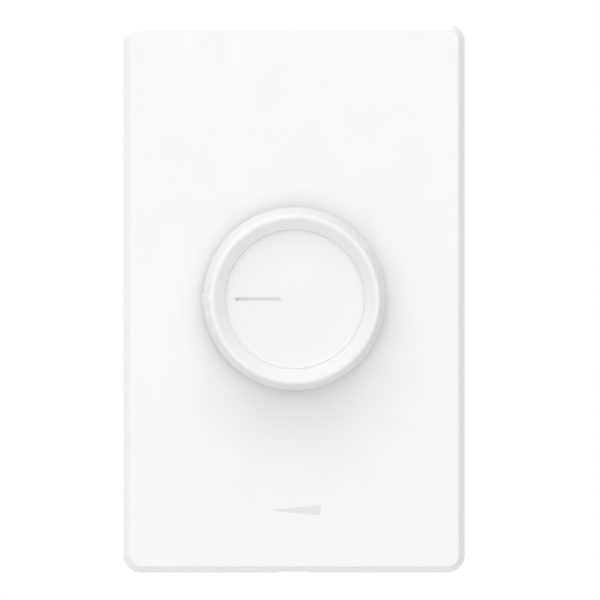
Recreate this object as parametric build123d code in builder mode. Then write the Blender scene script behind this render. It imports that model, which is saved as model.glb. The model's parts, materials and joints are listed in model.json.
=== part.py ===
from build123d import *
from math import atan2, cos, degrees, radians, sin, tan
import os

# Rotary dimmer switch: a push on-off knob over a screwless single-gang wallplate.
# Millimetres. X points right as seen from the room, Z up, and Y into the wall.
# The origin is on the wall surface, on the knob's axis. Plane.XZ faces the room,
# so its offsets are distances in front of the wall, and negative ones lie inside the wall.

# Wallplate: its height and depth follow from the yoke and screws that it covers
plate_width = 74.6
plate_inset = 1.3
plate_corner = 3.9
plate_edge_round = 0.45
plate_side_wall = 1.8
plate_face_wall = 2.0
plate_hole_radius = 8.0
plate_rib = 1.2
plate_rib_height = 0.7
pry_notch_width = 7.0
pry_notch_depth = 1.2

# Snap hooks of the wallplate
hook_width = 6.0
hook_leg = 1.2
hook_barb = 0.6
hook_tip_front = 1.2
snap_gap = 0.1
hook_clearance = 0.15
hook_end_clearance = 0.45

# Adapter between the yoke and the wallplate
adapter_gap = 0.3
adapter_web = 1.4
adapter_wall = 1.4
adapter_corner = 2.2
adapter_end_gap = 2.942
adapter_head_gap = 0.3
window_side_margin = 1.0
window_end_margin = 2.0
adapter_rib = 1.2
adapter_boss_radius = 3.0
adapter_hole_radius = 1.95

# Yoke
box_screw_spacing = 83.34
cover_screw_step = 6.75
ear_end = 4.18
yoke_thickness = 1.6
yoke_side_margin = 1.25
yoke_end_margin = 1.0
yoke_corner = 2.0
neck_width = 20.0
ear_width = 32.0
ear_height = 8.6
score_radius = 0.7
box_slot_length = 7.5
box_slot_width = 4.4

# Screws, by thread radius
small_screw_radius = 1.4
mount_screw_radius = 1.75
terminal_screw_radius = 2.05
tap_clearance = 0.06
shank_clearance = 0.15
drive_slot_width = 0.9

# Captive box screws
box_head_radius = 3.45
box_head_height = 2.0
box_neck_radius = 1.45
box_thread_start = 0.65
box_screw_length = 18.5
retainer_radius = 4.2
retainer_thickness = 0.5

# Adapter screws
cover_head_radius = 2.9
cover_screw_length = 9.5

# Housing screws
housing_head_radius = 2.6
housing_head_height = 1.5
housing_screw_length = 12.0

# Ground terminal on a bent tab of the yoke
tab_bend = 0.6
tab_length = 9.5
tab_height = 8.0
tab_gap = 1.8
ground_head_radius = 3.6
ground_head_height = 2.2
ground_screw_length = 6.0

# Knob
knob_gap = 2.5
knob_radius = 20.0
knob_height = 12.9
knob_flare = 1.55
knob_crest_land = 0.95
knob_wall = 1.6
knob_cone = 3.2
knob_recess_edge = 2.5
knob_web = 1.6
knob_web_depth = 5.1
crest_outer_round = 0.5
crest_inner_round = 0.7
recess_edge_round = 0.25
skirt_edge_round = 0.3
hub_radius = 5.5
hub_end_gap = 0.3
knob_rib = 1.0
knob_rib_count = 6
knob_rib_height = 3.7
nib_width = 2.4
nib_height = 0.3
nib_end_gap = 0.8

# Disc in the knob's recess
cap_gap = 0.08
cap_edge_height = 1.95
cap_centre_height = 2.0
cap_edge_round = 0.15
dome_width = 5.6
dome_drop = 0.42
cove_width = 1.75
cove_height = 1.62
cap_lip = 0.3
peg_angle = 30.0
peg_circle = 9.0
peg_radius = 0.9
peg_count = 3
peg_clearance = 0.1
line_end_gap = 2.4
line_length = 9.8
line_width = 0.7
line_depth = 0.2

# Control shaft and its seat in the knob
push_travel = 1.8
shaft_radius = 3.0
shaft_flat = 1.5
shaft_front_gap = 0.3
shaft_flat_overrun = 0.8
shaft_end_overrun = 0.7
tail_radius = 1.5
tail_proud = 0.6
bore_clearance = 0.06
clip_thickness = 0.4
clip_width = 3.6
clip_clearance = 0.05
clip_lip_inset = 0.9

# Bushing, nut and washer
bushing_radius = 4.76
bushing_proud = 0.2
flange_thickness = 1.6
bushing_hole_clearance = 0.1
key_x = 9.4
key_width = 1.4
key_height = 3.0
nut_flats = 12.7
nut_thickness = 2.4
washer_radius = 7.8
washer_thickness = 0.6
washer_tooth = 0.9
washer_tooth_count = 10

# Retaining ring
ring_radius = 4.4
ring_thickness = 0.5
ring_groove_radius = 2.2
ring_mouth = 4.0
ring_clearance = 0.05
ring_gap = 0.1
ring_rotor_gap = 0.2

# Potentiometer
pot_radius = 12.0
pot_wall = 1.2
pot_rear_wall = 1.0
rear_hole_radius = 3.4
crimp_count = 4
crimp_angle = 45.0
crimp_thickness = 0.8
crimp_reach = 1.5
crimp_arc = 13.0
crimp_clearance = 0.15
stop_lug_arc = 60.0
stop_arm_arc = 28.0
stop_clearance = 0.4
rotor_thickness = 2.0
rotor_radius = 8.2
rotor_clearance = 0.1
track_thickness = 1.0
track_clearance = 0.2
wiper_space = 1.4
wiper_base_radius = 5.7
wiper_thickness = 0.3
wiper_width = 1.6
wiper_reach = 7.4
wiper_gap = 0.05
lead_pitch = 5.0
lead_width = 1.4
lead_thickness = 0.4
lead_reach = 2.3
lead_inset = 3.0

# Push switch
switch_width = 20.0
switch_height = 17.0
switch_depth = 11.0
switch_wall = 1.2
switch_base_thickness = 1.4
switch_peg_x = 7.5
switch_peg_radius = 1.0
nose_radius = 2.2
slide_clearance = 0.15
plunger_width = 9.0
plunger_room = 2.5
plunger_length = 5.4
shoulder_gap = 0.1
guide_height = 3.0
spring_pocket_radius = 3.1
spring_pocket_depth = 2.7
spring_mean_radius = 2.4
spring_wire = 0.5
spring_turns = 5
spring_seat_radius = 1.9
spring_seat_height = 1.2
foot_width = 4.0
foot_height = 1.7
foot_length = 2.6
foot_inset = 0.8

# Latch: a bent wire in a heart-shaped cam pocket on top of the plunger
latch_wire_radius = 0.3
latch_pivot_inset = 1.2
latch_tip_inset = 1.1
latch_lift = 1.4
latch_bend = 0.8
cam_depth = 0.7
cam_tip_gap = 0.2
cam_narrow = 0.55
cam_wide = 1.95
heart_point = 0.75
heart_lobe = 1.45
heart_notch = 1.15
heart_width = 1.24
pivot_clearance = 0.08

# Contacts
bridge_width = 13.0
bridge_height = 2.0
bridge_thickness = 0.5
bridge_drop = 1.2
bridge_peg_radius = 0.6
contact_x = 5.0
contact_radius = 1.0
contact_gap = 0.05
pin_radius = 0.5

# Circuit board
board_switch_gap = 2.0
board_thickness = 1.6
board_gap = 0.45
pin_clearance = 0.1
pin_proud = 0.8

# Power components
triac_x = -5.0
triac_width = 10.0
triac_gap = 1.6
triac_end_gap = 1.75
triac_tab = 1.3
triac_body_depth = 4.4
triac_draft = 3.0
triac_hole_from_top = 2.8
triac_lead_pitch = 2.54
triac_lead_width = 0.8
triac_lead_thickness = 0.5
insulator_thickness = 0.25
insulator_margin = 0.8
rivet_radius = 1.5
rivet_head_radius = 2.5
rivet_head_height = 0.9
rivet_clearance = 0.9
choke_gap = 0.8
choke_band = 3.8
choke_height = 7.6
winding_thickness = 1.1
winding_gap_arc = 50.0
winding_lead_angle = 8.0
film_x = 9.3
film_gap = 0.85
film_width = 7.6
film_height = 12.0
film_lead_inset = 1.5
timing_side_gap = 3.2
timing_width = 4.6
timing_length = 9.0
timing_height = 8.0
timing_lead_spacing = 5.0
component_lead_radius = 0.35
diac_radius = 0.95
diac_length = 4.0
resistor_side_gap = 1.75
resistor_pitch = 3.4
resistor_radius = 1.15
resistor_length = 6.4
lead_overhang = 1.3

# Back housing
housing_width = 43.5
housing_end_room = 8.67
housing_rear_room = 3.6
housing_wall = 1.8
housing_corner = 3.0
housing_draft = 0.8
housing_rear_round = 1.5
boss_radius = 3.0
boss_depth = 15.0
boss_side_inset = 3.25
boss_end_inset = 4.0
post_radius = 2.0
post_side_step = 7.5
post_end_step = 3.4
gauge_length = 16.0
gauge_width = 3.0
gauge_depth = 0.6

# Side terminals
terminal_z = 14.0
alcove_front = 7.0
alcove_length = 11.0
alcove_height = 10.4
alcove_depth = 5.0
alcove_wall = 1.4
terminal_plate_thickness = 0.8
terminal_plate_length = 9.0
terminal_plate_height = 8.6
tail_height = 2.6
slot_clearance = 0.15
clamp_gap = 0.9
clamp_size = 7.4
clamp_thickness = 0.9
clamp_bend = 0.8
terminal_head_radius = 3.3
terminal_head_height = 2.0
terminal_screw_length = 8.0

# Worked out from the sizes above: distances in front of the wall
adapter_back = yoke_thickness + box_head_height + adapter_head_gap
adapter_front = adapter_back + adapter_web
plate_back = adapter_front + adapter_gap
plate_depth = plate_back + plate_face_wall
plate_draft = degrees(atan2(plate_inset, plate_depth))
washer_front = yoke_thickness + washer_thickness
nut_front = washer_front + nut_thickness
bushing_front = plate_depth + bushing_proud
skirt_end = plate_depth + knob_gap
knob_crest = skirt_end + knob_height
recess_edge = knob_crest - knob_recess_edge
web_front = knob_crest - knob_web_depth
web_back = web_front - knob_web
hub_end = skirt_end + hub_end_gap
shaft_front = web_back - shaft_front_gap

# Worked out: depths behind the wall surface
pot_front = flange_thickness
flange_radius = pot_radius
rotor_front = pot_front + ring_gap + ring_thickness + push_travel + ring_rotor_gap
rotor_back = rotor_front + rotor_thickness
shaft_end = rotor_back + shaft_end_overrun
track_front = rotor_back + wiper_space
track_back = track_front + track_thickness
pot_back = track_back + pot_rear_wall
pot_depth = pot_back - pot_front
tail_end = pot_back + tail_proud
switch_open = pot_back + switch_depth
switch_back = switch_open + switch_base_thickness
plunger_front = pot_back + switch_wall + shoulder_gap
plunger_back = plunger_front + plunger_length
pocket_floor = plunger_back - spring_pocket_depth
foot_back = plunger_back - foot_inset
latch_tip = plunger_back - latch_tip_inset
latch_pivot = switch_open - latch_pivot_inset
board_front = switch_back + board_switch_gap
board_back = board_front + board_thickness
pin_end = board_back + pin_proud
housing_depth = board_back + housing_rear_room + housing_wall
housing_lean = housing_depth * tan(radians(housing_draft))
terminal_depth = alcove_front + alcove_length / 2

# Worked out: heights and widths, from the box screws outwards to the plate and inwards to the housing
cover_screw_spacing = box_screw_spacing + 2 * cover_screw_step
yoke_length = cover_screw_spacing + 2 * ear_end
adapter_height = yoke_length + 2 * (adapter_end_gap + adapter_wall)
cavity_inset = 2 * (plate_side_wall + plate_inset * plate_back / plate_depth + adapter_gap)
adapter_width = plate_width - cavity_inset
plate_height = adapter_height + cavity_inset
hook_z = plate_height / 3
housing_height = box_screw_spacing - 2 * housing_end_room
yoke_plate_width = housing_width + 2 * yoke_side_margin
yoke_plate_height = housing_height + 2 * yoke_end_margin
adapter_window_width = yoke_plate_width + 2 * window_side_margin
adapter_window_height = yoke_plate_height + 2 * window_end_margin
hook_x = (adapter_window_width / 2 + adapter_rib + adapter_width / 2 - adapter_wall) / 2
tab_z = -yoke_plate_height / 2 - tab_gap - tab_height / 2
housing_screw_x = housing_width / 2 - boss_side_inset
housing_screw_z = housing_height / 2 - boss_end_inset
post_x = housing_screw_x - post_side_step
post_z = housing_screw_z - post_end_step
box_screw_z = box_screw_spacing / 2
cover_screw_z = cover_screw_spacing / 2
alcove_floor = housing_width / 2 - alcove_depth
floor_inner = alcove_floor - alcove_wall
terminals = ((1, terminal_z), (1, -terminal_z), (-1, terminal_z))
inner_side = housing_width / 2 - housing_wall - housing_lean
inner_end = housing_height / 2 - housing_wall - housing_lean

# Worked out: the knob's radii
knob_crest_radius = knob_radius - knob_flare
knob_recess_radius = knob_crest_radius - knob_cone
cap_radius = knob_recess_radius - cap_gap
dome_radius = knob_recess_radius - dome_width
cove_radius = knob_recess_radius - cove_width
line_outer = knob_recess_radius - line_end_gap
line_inner = line_outer - line_length
shaft_hub_radius = shaft_radius + clip_clearance
clip_lip = hub_radius - clip_lip_inset

# Worked out: places and lengths of what lies in the housing
plunger_height = switch_height - 2 * (switch_wall + plunger_room)
latch_run_z = plunger_height / 2 + latch_lift
bridge_z = -plunger_height / 2 - bridge_drop
lead_bend_z = -pot_radius - lead_reach
lead_inner_z = -pot_radius + lead_inset
triac_top = -pot_radius - triac_gap
triac_length = inner_end - triac_end_gap + triac_top
triac_body_length = triac_length - triac_hole_from_top - rivet_head_radius - rivet_clearance
rivet_z = triac_top - triac_hole_from_top
triac_lead_z = triac_top - triac_length - triac_lead_thickness
winding_radius = (inner_end - switch_height / 2) / 2 - choke_gap
choke_z = switch_height / 2 + choke_gap + winding_radius
choke_radius = winding_radius - winding_thickness
choke_hole_radius = choke_radius - choke_band
choke_middle = -board_front + choke_height / 2 + winding_thickness
component_top = terminal_z + terminal_screw_radius + film_gap
film_length = inner_end - film_gap - component_top
film_z = -component_top - film_length / 2
film_lead_spacing = film_length - 2 * film_lead_inset
timing_x = timing_side_gap + timing_width / 2 - inner_side
timing_z = -component_top - timing_length / 2
resistor_outer = inner_side - resistor_side_gap - resistor_radius
resistor_positions = (resistor_outer - resistor_pitch, resistor_outer)

# Lead holes of the small components in the circuit board, as x and height
choke_lead_turn = radians(winding_gap_arc / 2 + winding_lead_angle)
choke_lead_x = (choke_radius + choke_hole_radius) / 2 * sin(choke_lead_turn)
choke_lead_z = choke_z - (choke_radius + choke_hole_radius) / 2 * cos(choke_lead_turn)
choke_holes = ((-choke_lead_x, choke_lead_z), (choke_lead_x, choke_lead_z))
film_holes = ((film_x, film_z + film_lead_spacing / 2), (film_x, film_z - film_lead_spacing / 2))
timing_holes = (
    (timing_x, timing_z + timing_lead_spacing / 2),
    (timing_x, timing_z - timing_lead_spacing / 2),
)
diac_reach = diac_length / 2 + lead_overhang - component_lead_radius
diac_holes = ((timing_x, diac_reach), (timing_x, -diac_reach))
resistor_reach = resistor_length / 2 + lead_overhang - component_lead_radius
resistor_holes = [(x, end * resistor_reach) for x in resistor_positions for end in (-1, 1)]
component_holes = [*choke_holes, *film_holes, *timing_holes, *diac_holes, *resistor_holes]


def section(x=0, z=0, angle=0):
    """Half-section plane of a turned form: local x leaves the axis at x, z, local y faces the room."""
    out = radians(angle)
    return Plane(origin=(x, 0, z), x_dir=(cos(out), 0, sin(out)), z_dir=(sin(out), 0, -cos(out)))


def axis_at(x=0, z=0):
    """Axis through x, z that points to the room, so that turns are anticlockwise as seen there."""
    return Axis((x, 0, z), (0, -1, 0))


def dome(radius, sink=0.0):
    """Point of the knob disc's dome at this radius, or this far under it."""
    drop = dome_drop * (radius / dome_radius) ** 2
    return (radius, web_front + cap_centre_height - drop - sink)


os.makedirs("parts", exist_ok=True)

# Wallplate: a drafted shell with a clear hole for the knob's hub, ribs and four snap hooks
with BuildPart(Plane.XZ) as wallplate:
    with BuildSketch(Plane.XZ):
        RectangleRounded(plate_width, plate_height, plate_corner)
    extrude(amount=plate_depth, taper=plate_draft)
    fillet(wallplate.faces().sort_by(Axis.Y)[0].outer_wire().edges(), plate_edge_round)
    with BuildSketch(Plane.XZ):
        RectangleRounded(
            plate_width - 2 * plate_side_wall,
            plate_height - 2 * plate_side_wall,
            plate_corner - plate_side_wall,
        )
    extrude(amount=plate_back, taper=plate_draft, mode=Mode.SUBTRACT)
    with BuildSketch(Plane.XZ.offset(plate_back)):
        Circle(plate_hole_radius + plate_rib)
        Rectangle(adapter_window_width - 2 * plate_rib, plate_rib)
        Rectangle(plate_rib, adapter_window_height - 2 * plate_rib)
    extrude(amount=-plate_rib_height)
    with BuildSketch(Plane.XZ.offset(plate_depth)):
        Circle(plate_hole_radius)
    extrude(amount=-plate_depth, mode=Mode.SUBTRACT)
    hook_in = hook_x - hook_leg / 2
    hook_out = hook_x + hook_leg / 2
    barb_front = adapter_back - snap_gap
    for side in (-1, 1):
        for end in (-1, 1):
            with BuildSketch(Plane.XY.offset(end * hook_z - hook_width / 2)):
                with BuildLine():
                    Polyline(
                        (side * hook_in, -plate_back),
                        (side * hook_out, -plate_back),
                        (side * hook_out, -barb_front),
                        (side * (hook_out + hook_barb), -barb_front),
                        (side * hook_x, -hook_tip_front),
                        (side * hook_in, -hook_tip_front),
                        close=True,
                    )
                make_face()
            extrude(amount=hook_width)
    with BuildSketch(Plane.XZ):
        with Locations((0, -plate_height / 2)):
            Rectangle(pry_notch_width, 2 * (plate_side_wall + plate_inset))
    extrude(amount=pry_notch_depth, mode=Mode.SUBTRACT)
wallplate.part.label = "wallplate"
export_step(wallplate.part, "parts/wallplate.step")

# Adapter: a tray behind the wallplate with slots for its hooks and bosses on the yoke's ears
with BuildPart(Plane.XZ) as plate_adapter:
    with BuildSketch(Plane.XZ):
        RectangleRounded(adapter_width, adapter_height, adapter_corner)
        RectangleRounded(
            adapter_width - 2 * adapter_wall,
            adapter_height - 2 * adapter_wall,
            adapter_corner - adapter_wall,
            mode=Mode.SUBTRACT,
        )
    extrude(amount=adapter_front)
    with BuildSketch(Plane.XZ.offset(yoke_thickness)):
        with Locations((0, cover_screw_z), (0, -cover_screw_z)):
            Circle(adapter_boss_radius)
    extrude(amount=adapter_back - yoke_thickness)
    with BuildSketch(Plane.XZ.offset(yoke_thickness)):
        boss_end = cover_screw_z + adapter_boss_radius
        with Locations((0, boss_end), (0, -boss_end)):
            Rectangle(adapter_rib, adapter_boss_radius)
        for side in (-1, 1):
            with Locations((side * (adapter_window_width + adapter_rib) / 2, 0)):
                Rectangle(adapter_rib, adapter_height - 2 * adapter_wall)
    extrude(amount=adapter_back - yoke_thickness)
    with BuildSketch(Plane.XZ.offset(adapter_back)):
        RectangleRounded(adapter_width, adapter_height, adapter_corner)
        RectangleRounded(
            adapter_window_width, adapter_window_height, adapter_corner, mode=Mode.SUBTRACT
        )
        slot_inner = hook_in - hook_barb - 2 * hook_clearance
        slot_outer = hook_out + hook_clearance
        with GridLocations(slot_inner + slot_outer, 2 * hook_z, 2, 2):
            Rectangle(
                slot_outer - slot_inner, hook_width + 2 * hook_end_clearance, mode=Mode.SUBTRACT
            )
    extrude(amount=adapter_web)
    with Locations((0, cover_screw_z, adapter_front), (0, -cover_screw_z, adapter_front)):
        CounterSinkHole(adapter_hole_radius, cover_head_radius + tap_clearance, adapter_front)
plate_adapter.part.label = "plate_adapter"
export_step(plate_adapter.part, "parts/plate_adapter.step")

# Flat-head screws that hold the adapter to the yoke's ears
with BuildPart() as adapter_screws:
    for end in (1, -1):
        with BuildSketch(section(0, end * cover_screw_z)):
            with BuildLine():
                Polyline(
                    (0, adapter_front),
                    (cover_head_radius, adapter_front),
                    (mount_screw_radius, adapter_front - cover_head_radius + mount_screw_radius),
                    (mount_screw_radius, adapter_front - cover_screw_length + mount_screw_radius / 2),
                    (mount_screw_radius / 2, adapter_front - cover_screw_length),
                    (0, adapter_front - cover_screw_length),
                    close=True,
                )
            make_face()
        revolve(axis=axis_at(0, end * cover_screw_z))
        with BuildSketch(Plane.XZ.offset(adapter_front)):
            with Locations((0, end * cover_screw_z)):
                Rectangle(2 * cover_head_radius, drive_slot_width)
        extrude(amount=-drive_slot_width, mode=Mode.SUBTRACT)
adapter_screws.part.label = "adapter_screws"
export_step(adapter_screws.part, "parts/adapter_screws.step")

# Yoke: a stamped aluminium strap that is also the heat sink, with a bent tab for the ground screw
with BuildPart(Plane.XZ) as yoke:
    with BuildSketch(Plane.XZ):
        RectangleRounded(yoke_plate_width, yoke_plate_height, yoke_corner)
        Rectangle(neck_width, yoke_length)
        ear_z = (yoke_length - ear_height) / 2
        with Locations((0, ear_z), (0, -ear_z)):
            RectangleRounded(ear_width, ear_height, yoke_corner)
        with Locations((0, box_screw_z), (0, -box_screw_z)):
            SlotOverall(box_slot_length, box_slot_width, mode=Mode.SUBTRACT)
        with Locations((0, cover_screw_z), (0, -cover_screw_z)):
            Circle(mount_screw_radius + tap_clearance, mode=Mode.SUBTRACT)
        with GridLocations(2 * housing_screw_x, 2 * housing_screw_z, 2, 2):
            Circle(small_screw_radius + shank_clearance, mode=Mode.SUBTRACT)
        with GridLocations(neck_width + 2 * score_radius, 2 * ear_z, 2, 2):
            with GridLocations(0, ear_height / 2, 1, 3):
                Circle(score_radius, mode=Mode.SUBTRACT)
        Circle(bushing_radius + bushing_hole_clearance, mode=Mode.SUBTRACT)
        with Locations((key_x, 0)):
            Rectangle(
                key_width + 2 * slot_clearance, key_height + 2 * slot_clearance, mode=Mode.SUBTRACT
            )
        with Locations((triac_x, rivet_z)):
            Circle(rivet_radius + tap_clearance, mode=Mode.SUBTRACT)
    extrude(amount=yoke_thickness)
    tab_inner = -neck_width / 2 - tab_bend
    tab_outer = tab_inner - yoke_thickness
    with BuildSketch(Plane.XY.offset(tab_z - tab_height / 2)) as tab_section:
        with BuildLine():
            Polyline(
                (-neck_width / 2, -yoke_thickness),
                (tab_outer, -yoke_thickness),
                (tab_outer, tab_length),
                (tab_inner, tab_length),
                (tab_inner, 0),
                (-neck_width / 2, 0),
                close=True,
            )
        make_face()
        tab_corners = tab_section.vertices().group_by(Axis.X)[0]
        fillet(tab_corners.sort_by(Axis.Y)[0], yoke_thickness)
    extrude(amount=tab_height)
    fillet(yoke.edges().filter_by(Axis.X).group_by(Axis.Y)[-1], tab_height / 4)
    tab_hole_depth = tab_length - tab_height / 2
    with BuildSketch(Plane.YZ.offset(tab_outer)):
        with Locations((tab_hole_depth, tab_z)):
            Circle(terminal_screw_radius + tap_clearance)
    extrude(amount=yoke_thickness, mode=Mode.SUBTRACT)
yoke.part.label = "yoke"
export_step(yoke.part, "parts/yoke.step")

# Ground screw in the yoke's tab
with BuildPart() as ground_screw:
    with BuildSketch(Plane.XY.offset(tab_z)):
        with BuildLine():
            head_rim = tab_hole_depth + ground_head_radius
            shank_side = tab_hole_depth + terminal_screw_radius
            Polyline(
                (tab_outer - ground_head_height, tab_hole_depth),
                (tab_outer - ground_head_height, head_rim - ground_head_height / 4),
                (tab_outer - 3 * ground_head_height / 4, head_rim),
                (tab_outer, head_rim),
                (tab_outer, shank_side),
                (tab_outer + ground_screw_length, shank_side),
                (tab_outer + ground_screw_length, tab_hole_depth),
                close=True,
            )
        make_face()
    revolve(axis=Axis((0, tab_hole_depth, tab_z), (1, 0, 0)))
    with BuildSketch(Plane.YZ.offset(tab_outer - ground_head_height)):
        with Locations((tab_hole_depth, tab_z)):
            Rectangle(2 * ground_head_radius, drive_slot_width)
    extrude(amount=ground_head_height / 2, mode=Mode.SUBTRACT)
ground_screw.part.label = "ground_screw"
export_step(ground_screw.part, "parts/ground_screw.step")

# Captive box screws: the neck floats in the yoke's slot and the thread starts behind it
with BuildPart() as box_screws:
    for end in (1, -1):
        with BuildSketch(section(0, end * box_screw_z)):
            with BuildLine():
                head_top = yoke_thickness + box_head_height
                tip = yoke_thickness - box_screw_length
                Polyline(
                    (0, head_top),
                    (box_head_radius - box_head_height / 2, head_top),
                    (box_head_radius, yoke_thickness + box_head_height / 2),
                    (box_head_radius, yoke_thickness),
                    (box_neck_radius, yoke_thickness),
                    (box_neck_radius, -box_thread_start),
                    (mount_screw_radius, -box_thread_start),
                    (mount_screw_radius, tip + mount_screw_radius / 2),
                    (mount_screw_radius / 2, tip),
                    (0, tip),
                    close=True,
                )
            make_face()
        revolve(axis=axis_at(0, end * box_screw_z))
        with BuildSketch(Plane.XZ.offset(head_top)):
            with Locations((0, end * box_screw_z)):
                Rectangle(2 * box_head_radius, drive_slot_width)
        extrude(amount=-box_head_height / 2, mode=Mode.SUBTRACT)
box_screws.part.label = "box_screws"
export_step(box_screws.part, "parts/box_screws.step")

# Fibre retainers that keep the box screws in the yoke
with BuildPart() as screw_retainers:
    with BuildSketch(Plane.XZ.offset(-retainer_thickness)):
        with Locations((0, box_screw_z), (0, -box_screw_z)):
            RectangleRounded(2 * retainer_radius, 2 * retainer_radius, retainer_radius / 4)
            Circle(box_neck_radius + tap_clearance, mode=Mode.SUBTRACT)
    extrude(amount=retainer_thickness)
screw_retainers.part.label = "screw_retainers"
export_step(screw_retainers.part, "parts/screw_retainers.step")

# Knob body: flared skirt, rounded crest, cone down to a recess, hub with a D bore, ribs and a nib
with BuildPart(Plane.XZ) as knob_body:
    with BuildSketch(section()) as knob_section:
        with BuildLine():
            skirt_slope = (knob_radius - knob_crest_radius) / knob_height
            skirt_inner_top = knob_radius - knob_wall - skirt_slope * (web_back - skirt_end)
            Polyline(
                (0, web_front),
                (knob_recess_radius, web_front),
                (knob_recess_radius, recess_edge),
                (knob_crest_radius - knob_crest_land, knob_crest),
                (knob_crest_radius, knob_crest),
                (knob_radius, skirt_end),
                (knob_radius - knob_wall, skirt_end),
                (skirt_inner_top, web_back),
                (0, web_back),
                close=True,
            )
        make_face()
        for corner, rounding in (
            ((knob_recess_radius, recess_edge), recess_edge_round),
            ((knob_crest_radius - knob_crest_land, knob_crest), crest_inner_round),
            ((knob_crest_radius, knob_crest), crest_outer_round),
            ((knob_radius, skirt_end), skirt_edge_round),
        ):
            fillet(knob_section.vertices().sort_by_distance(corner)[0], rounding)
    revolve(axis=axis_at())
    with BuildSketch(Plane.XZ.offset(web_back)):
        Circle(hub_radius)
    extrude(amount=hub_end - web_back)
    with BuildSketch(Plane.XZ.offset(web_back - knob_rib_height)):
        with PolarLocations((hub_radius + skirt_inner_top) / 2, knob_rib_count):
            Rectangle(skirt_inner_top - hub_radius + knob_rib, knob_rib)
    extrude(amount=knob_rib_height)
    with BuildSketch(Plane.XZ.offset(hub_end)):
        Circle(shaft_hub_radius)
        with Locations((0, shaft_flat + clip_thickness + 2 * clip_clearance)):
            Rectangle(
                2 * shaft_radius, shaft_radius, align=(Align.CENTER, Align.MIN), mode=Mode.SUBTRACT
            )
    extrude(amount=web_back - hub_end, mode=Mode.SUBTRACT)
    with BuildSketch(Plane.XZ.offset(web_back)):
        with PolarLocations(peg_circle, peg_count, start_angle=peg_angle):
            Circle(peg_radius + peg_clearance)
    extrude(amount=knob_web, mode=Mode.SUBTRACT)
    nib_arc = degrees(nib_width / knob_radius)
    nib_top = knob_crest - nib_end_gap
    nib_foot = skirt_end + skirt_edge_round
    nib_top_radius = knob_radius - skirt_slope * (nib_top - skirt_end)
    nib_foot_radius = knob_radius - skirt_slope * (nib_foot - skirt_end)
    with BuildSketch(section(angle=180 - nib_arc / 2)):
        with BuildLine():
            Polyline(
                (nib_top_radius - nib_height, nib_top),
                (nib_top_radius, nib_top),
                (nib_top_radius + nib_height, nib_top - nib_height),
                (nib_foot_radius + nib_height, nib_foot + nib_height),
                (nib_foot_radius, nib_foot),
                (nib_foot_radius - nib_height, nib_foot),
                close=True,
            )
        make_face()
    revolve(axis=axis_at(), revolution_arc=nib_arc)
knob_body.part.label = "knob_body"
export_step(knob_body.part, "parts/knob_body.step")

# Disc in the recess: a low dome that curls up at its rim, with a pointer line and three pegs
with BuildPart(Plane.XZ) as knob_cap:
    with BuildSketch(section()) as cap_section:
        with BuildLine():
            rim = web_front + cap_edge_height
            lip = (cap_radius - cap_lip, rim)
            Polyline(dome(0), (0, web_front), (cap_radius, web_front), (cap_radius, rim), lip)
            ThreePointArc(dome(0), dome(dome_radius / 2), dome(dome_radius))
            Spline(
                dome(dome_radius),
                (cove_radius, web_front + cove_height),
                lip,
                tangents=((dome_radius, -2 * dome_drop), (cap_lip, cap_lip)),
            )
        make_face()
        fillet(cap_section.vertices().sort_by_distance((cap_radius, rim))[0], cap_edge_round)
    revolve(axis=axis_at())
    with BuildSketch(section(angle=180)):
        with BuildLine():
            above = web_front + 2 * cap_centre_height
            groove_inner = dome(line_inner, line_depth)
            groove_middle = dome((line_inner + line_outer) / 2, line_depth)
            groove_outer = dome(line_outer, line_depth)
            ThreePointArc(groove_inner, groove_middle, groove_outer)
            Polyline(groove_outer, (line_outer, above), (line_inner, above), groove_inner)
        make_face()
    extrude(amount=line_width / 2, both=True, mode=Mode.SUBTRACT)
    with BuildSketch(Plane.XZ.offset(web_front)):
        with PolarLocations(peg_circle, peg_count, start_angle=peg_angle):
            Circle(peg_radius)
    extrude(amount=-knob_web + peg_clearance)
knob_cap.part.label = "knob_cap"
export_step(knob_cap.part, "parts/knob_cap.step")

# Spring leaf between the shaft's flat and the hub, with a lip over the hub's end
with BuildPart() as knob_clip:
    with BuildSketch(Plane.YZ.offset(-clip_width / 2)):
        with BuildLine():
            leaf_inner = shaft_flat + clip_clearance
            leaf_outer = leaf_inner + clip_thickness
            lip_front = hub_end - clip_clearance
            Polyline(
                (-shaft_front, leaf_inner),
                (-shaft_front, leaf_outer),
                (-lip_front, leaf_outer),
                (-lip_front, clip_lip),
                (clip_thickness - lip_front, clip_lip),
                (clip_thickness - lip_front, leaf_inner),
                close=True,
            )
        make_face()
    extrude(amount=clip_width)
knob_clip.part.label = "knob_clip"
export_step(knob_clip.part, "parts/knob_clip.step")

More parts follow.
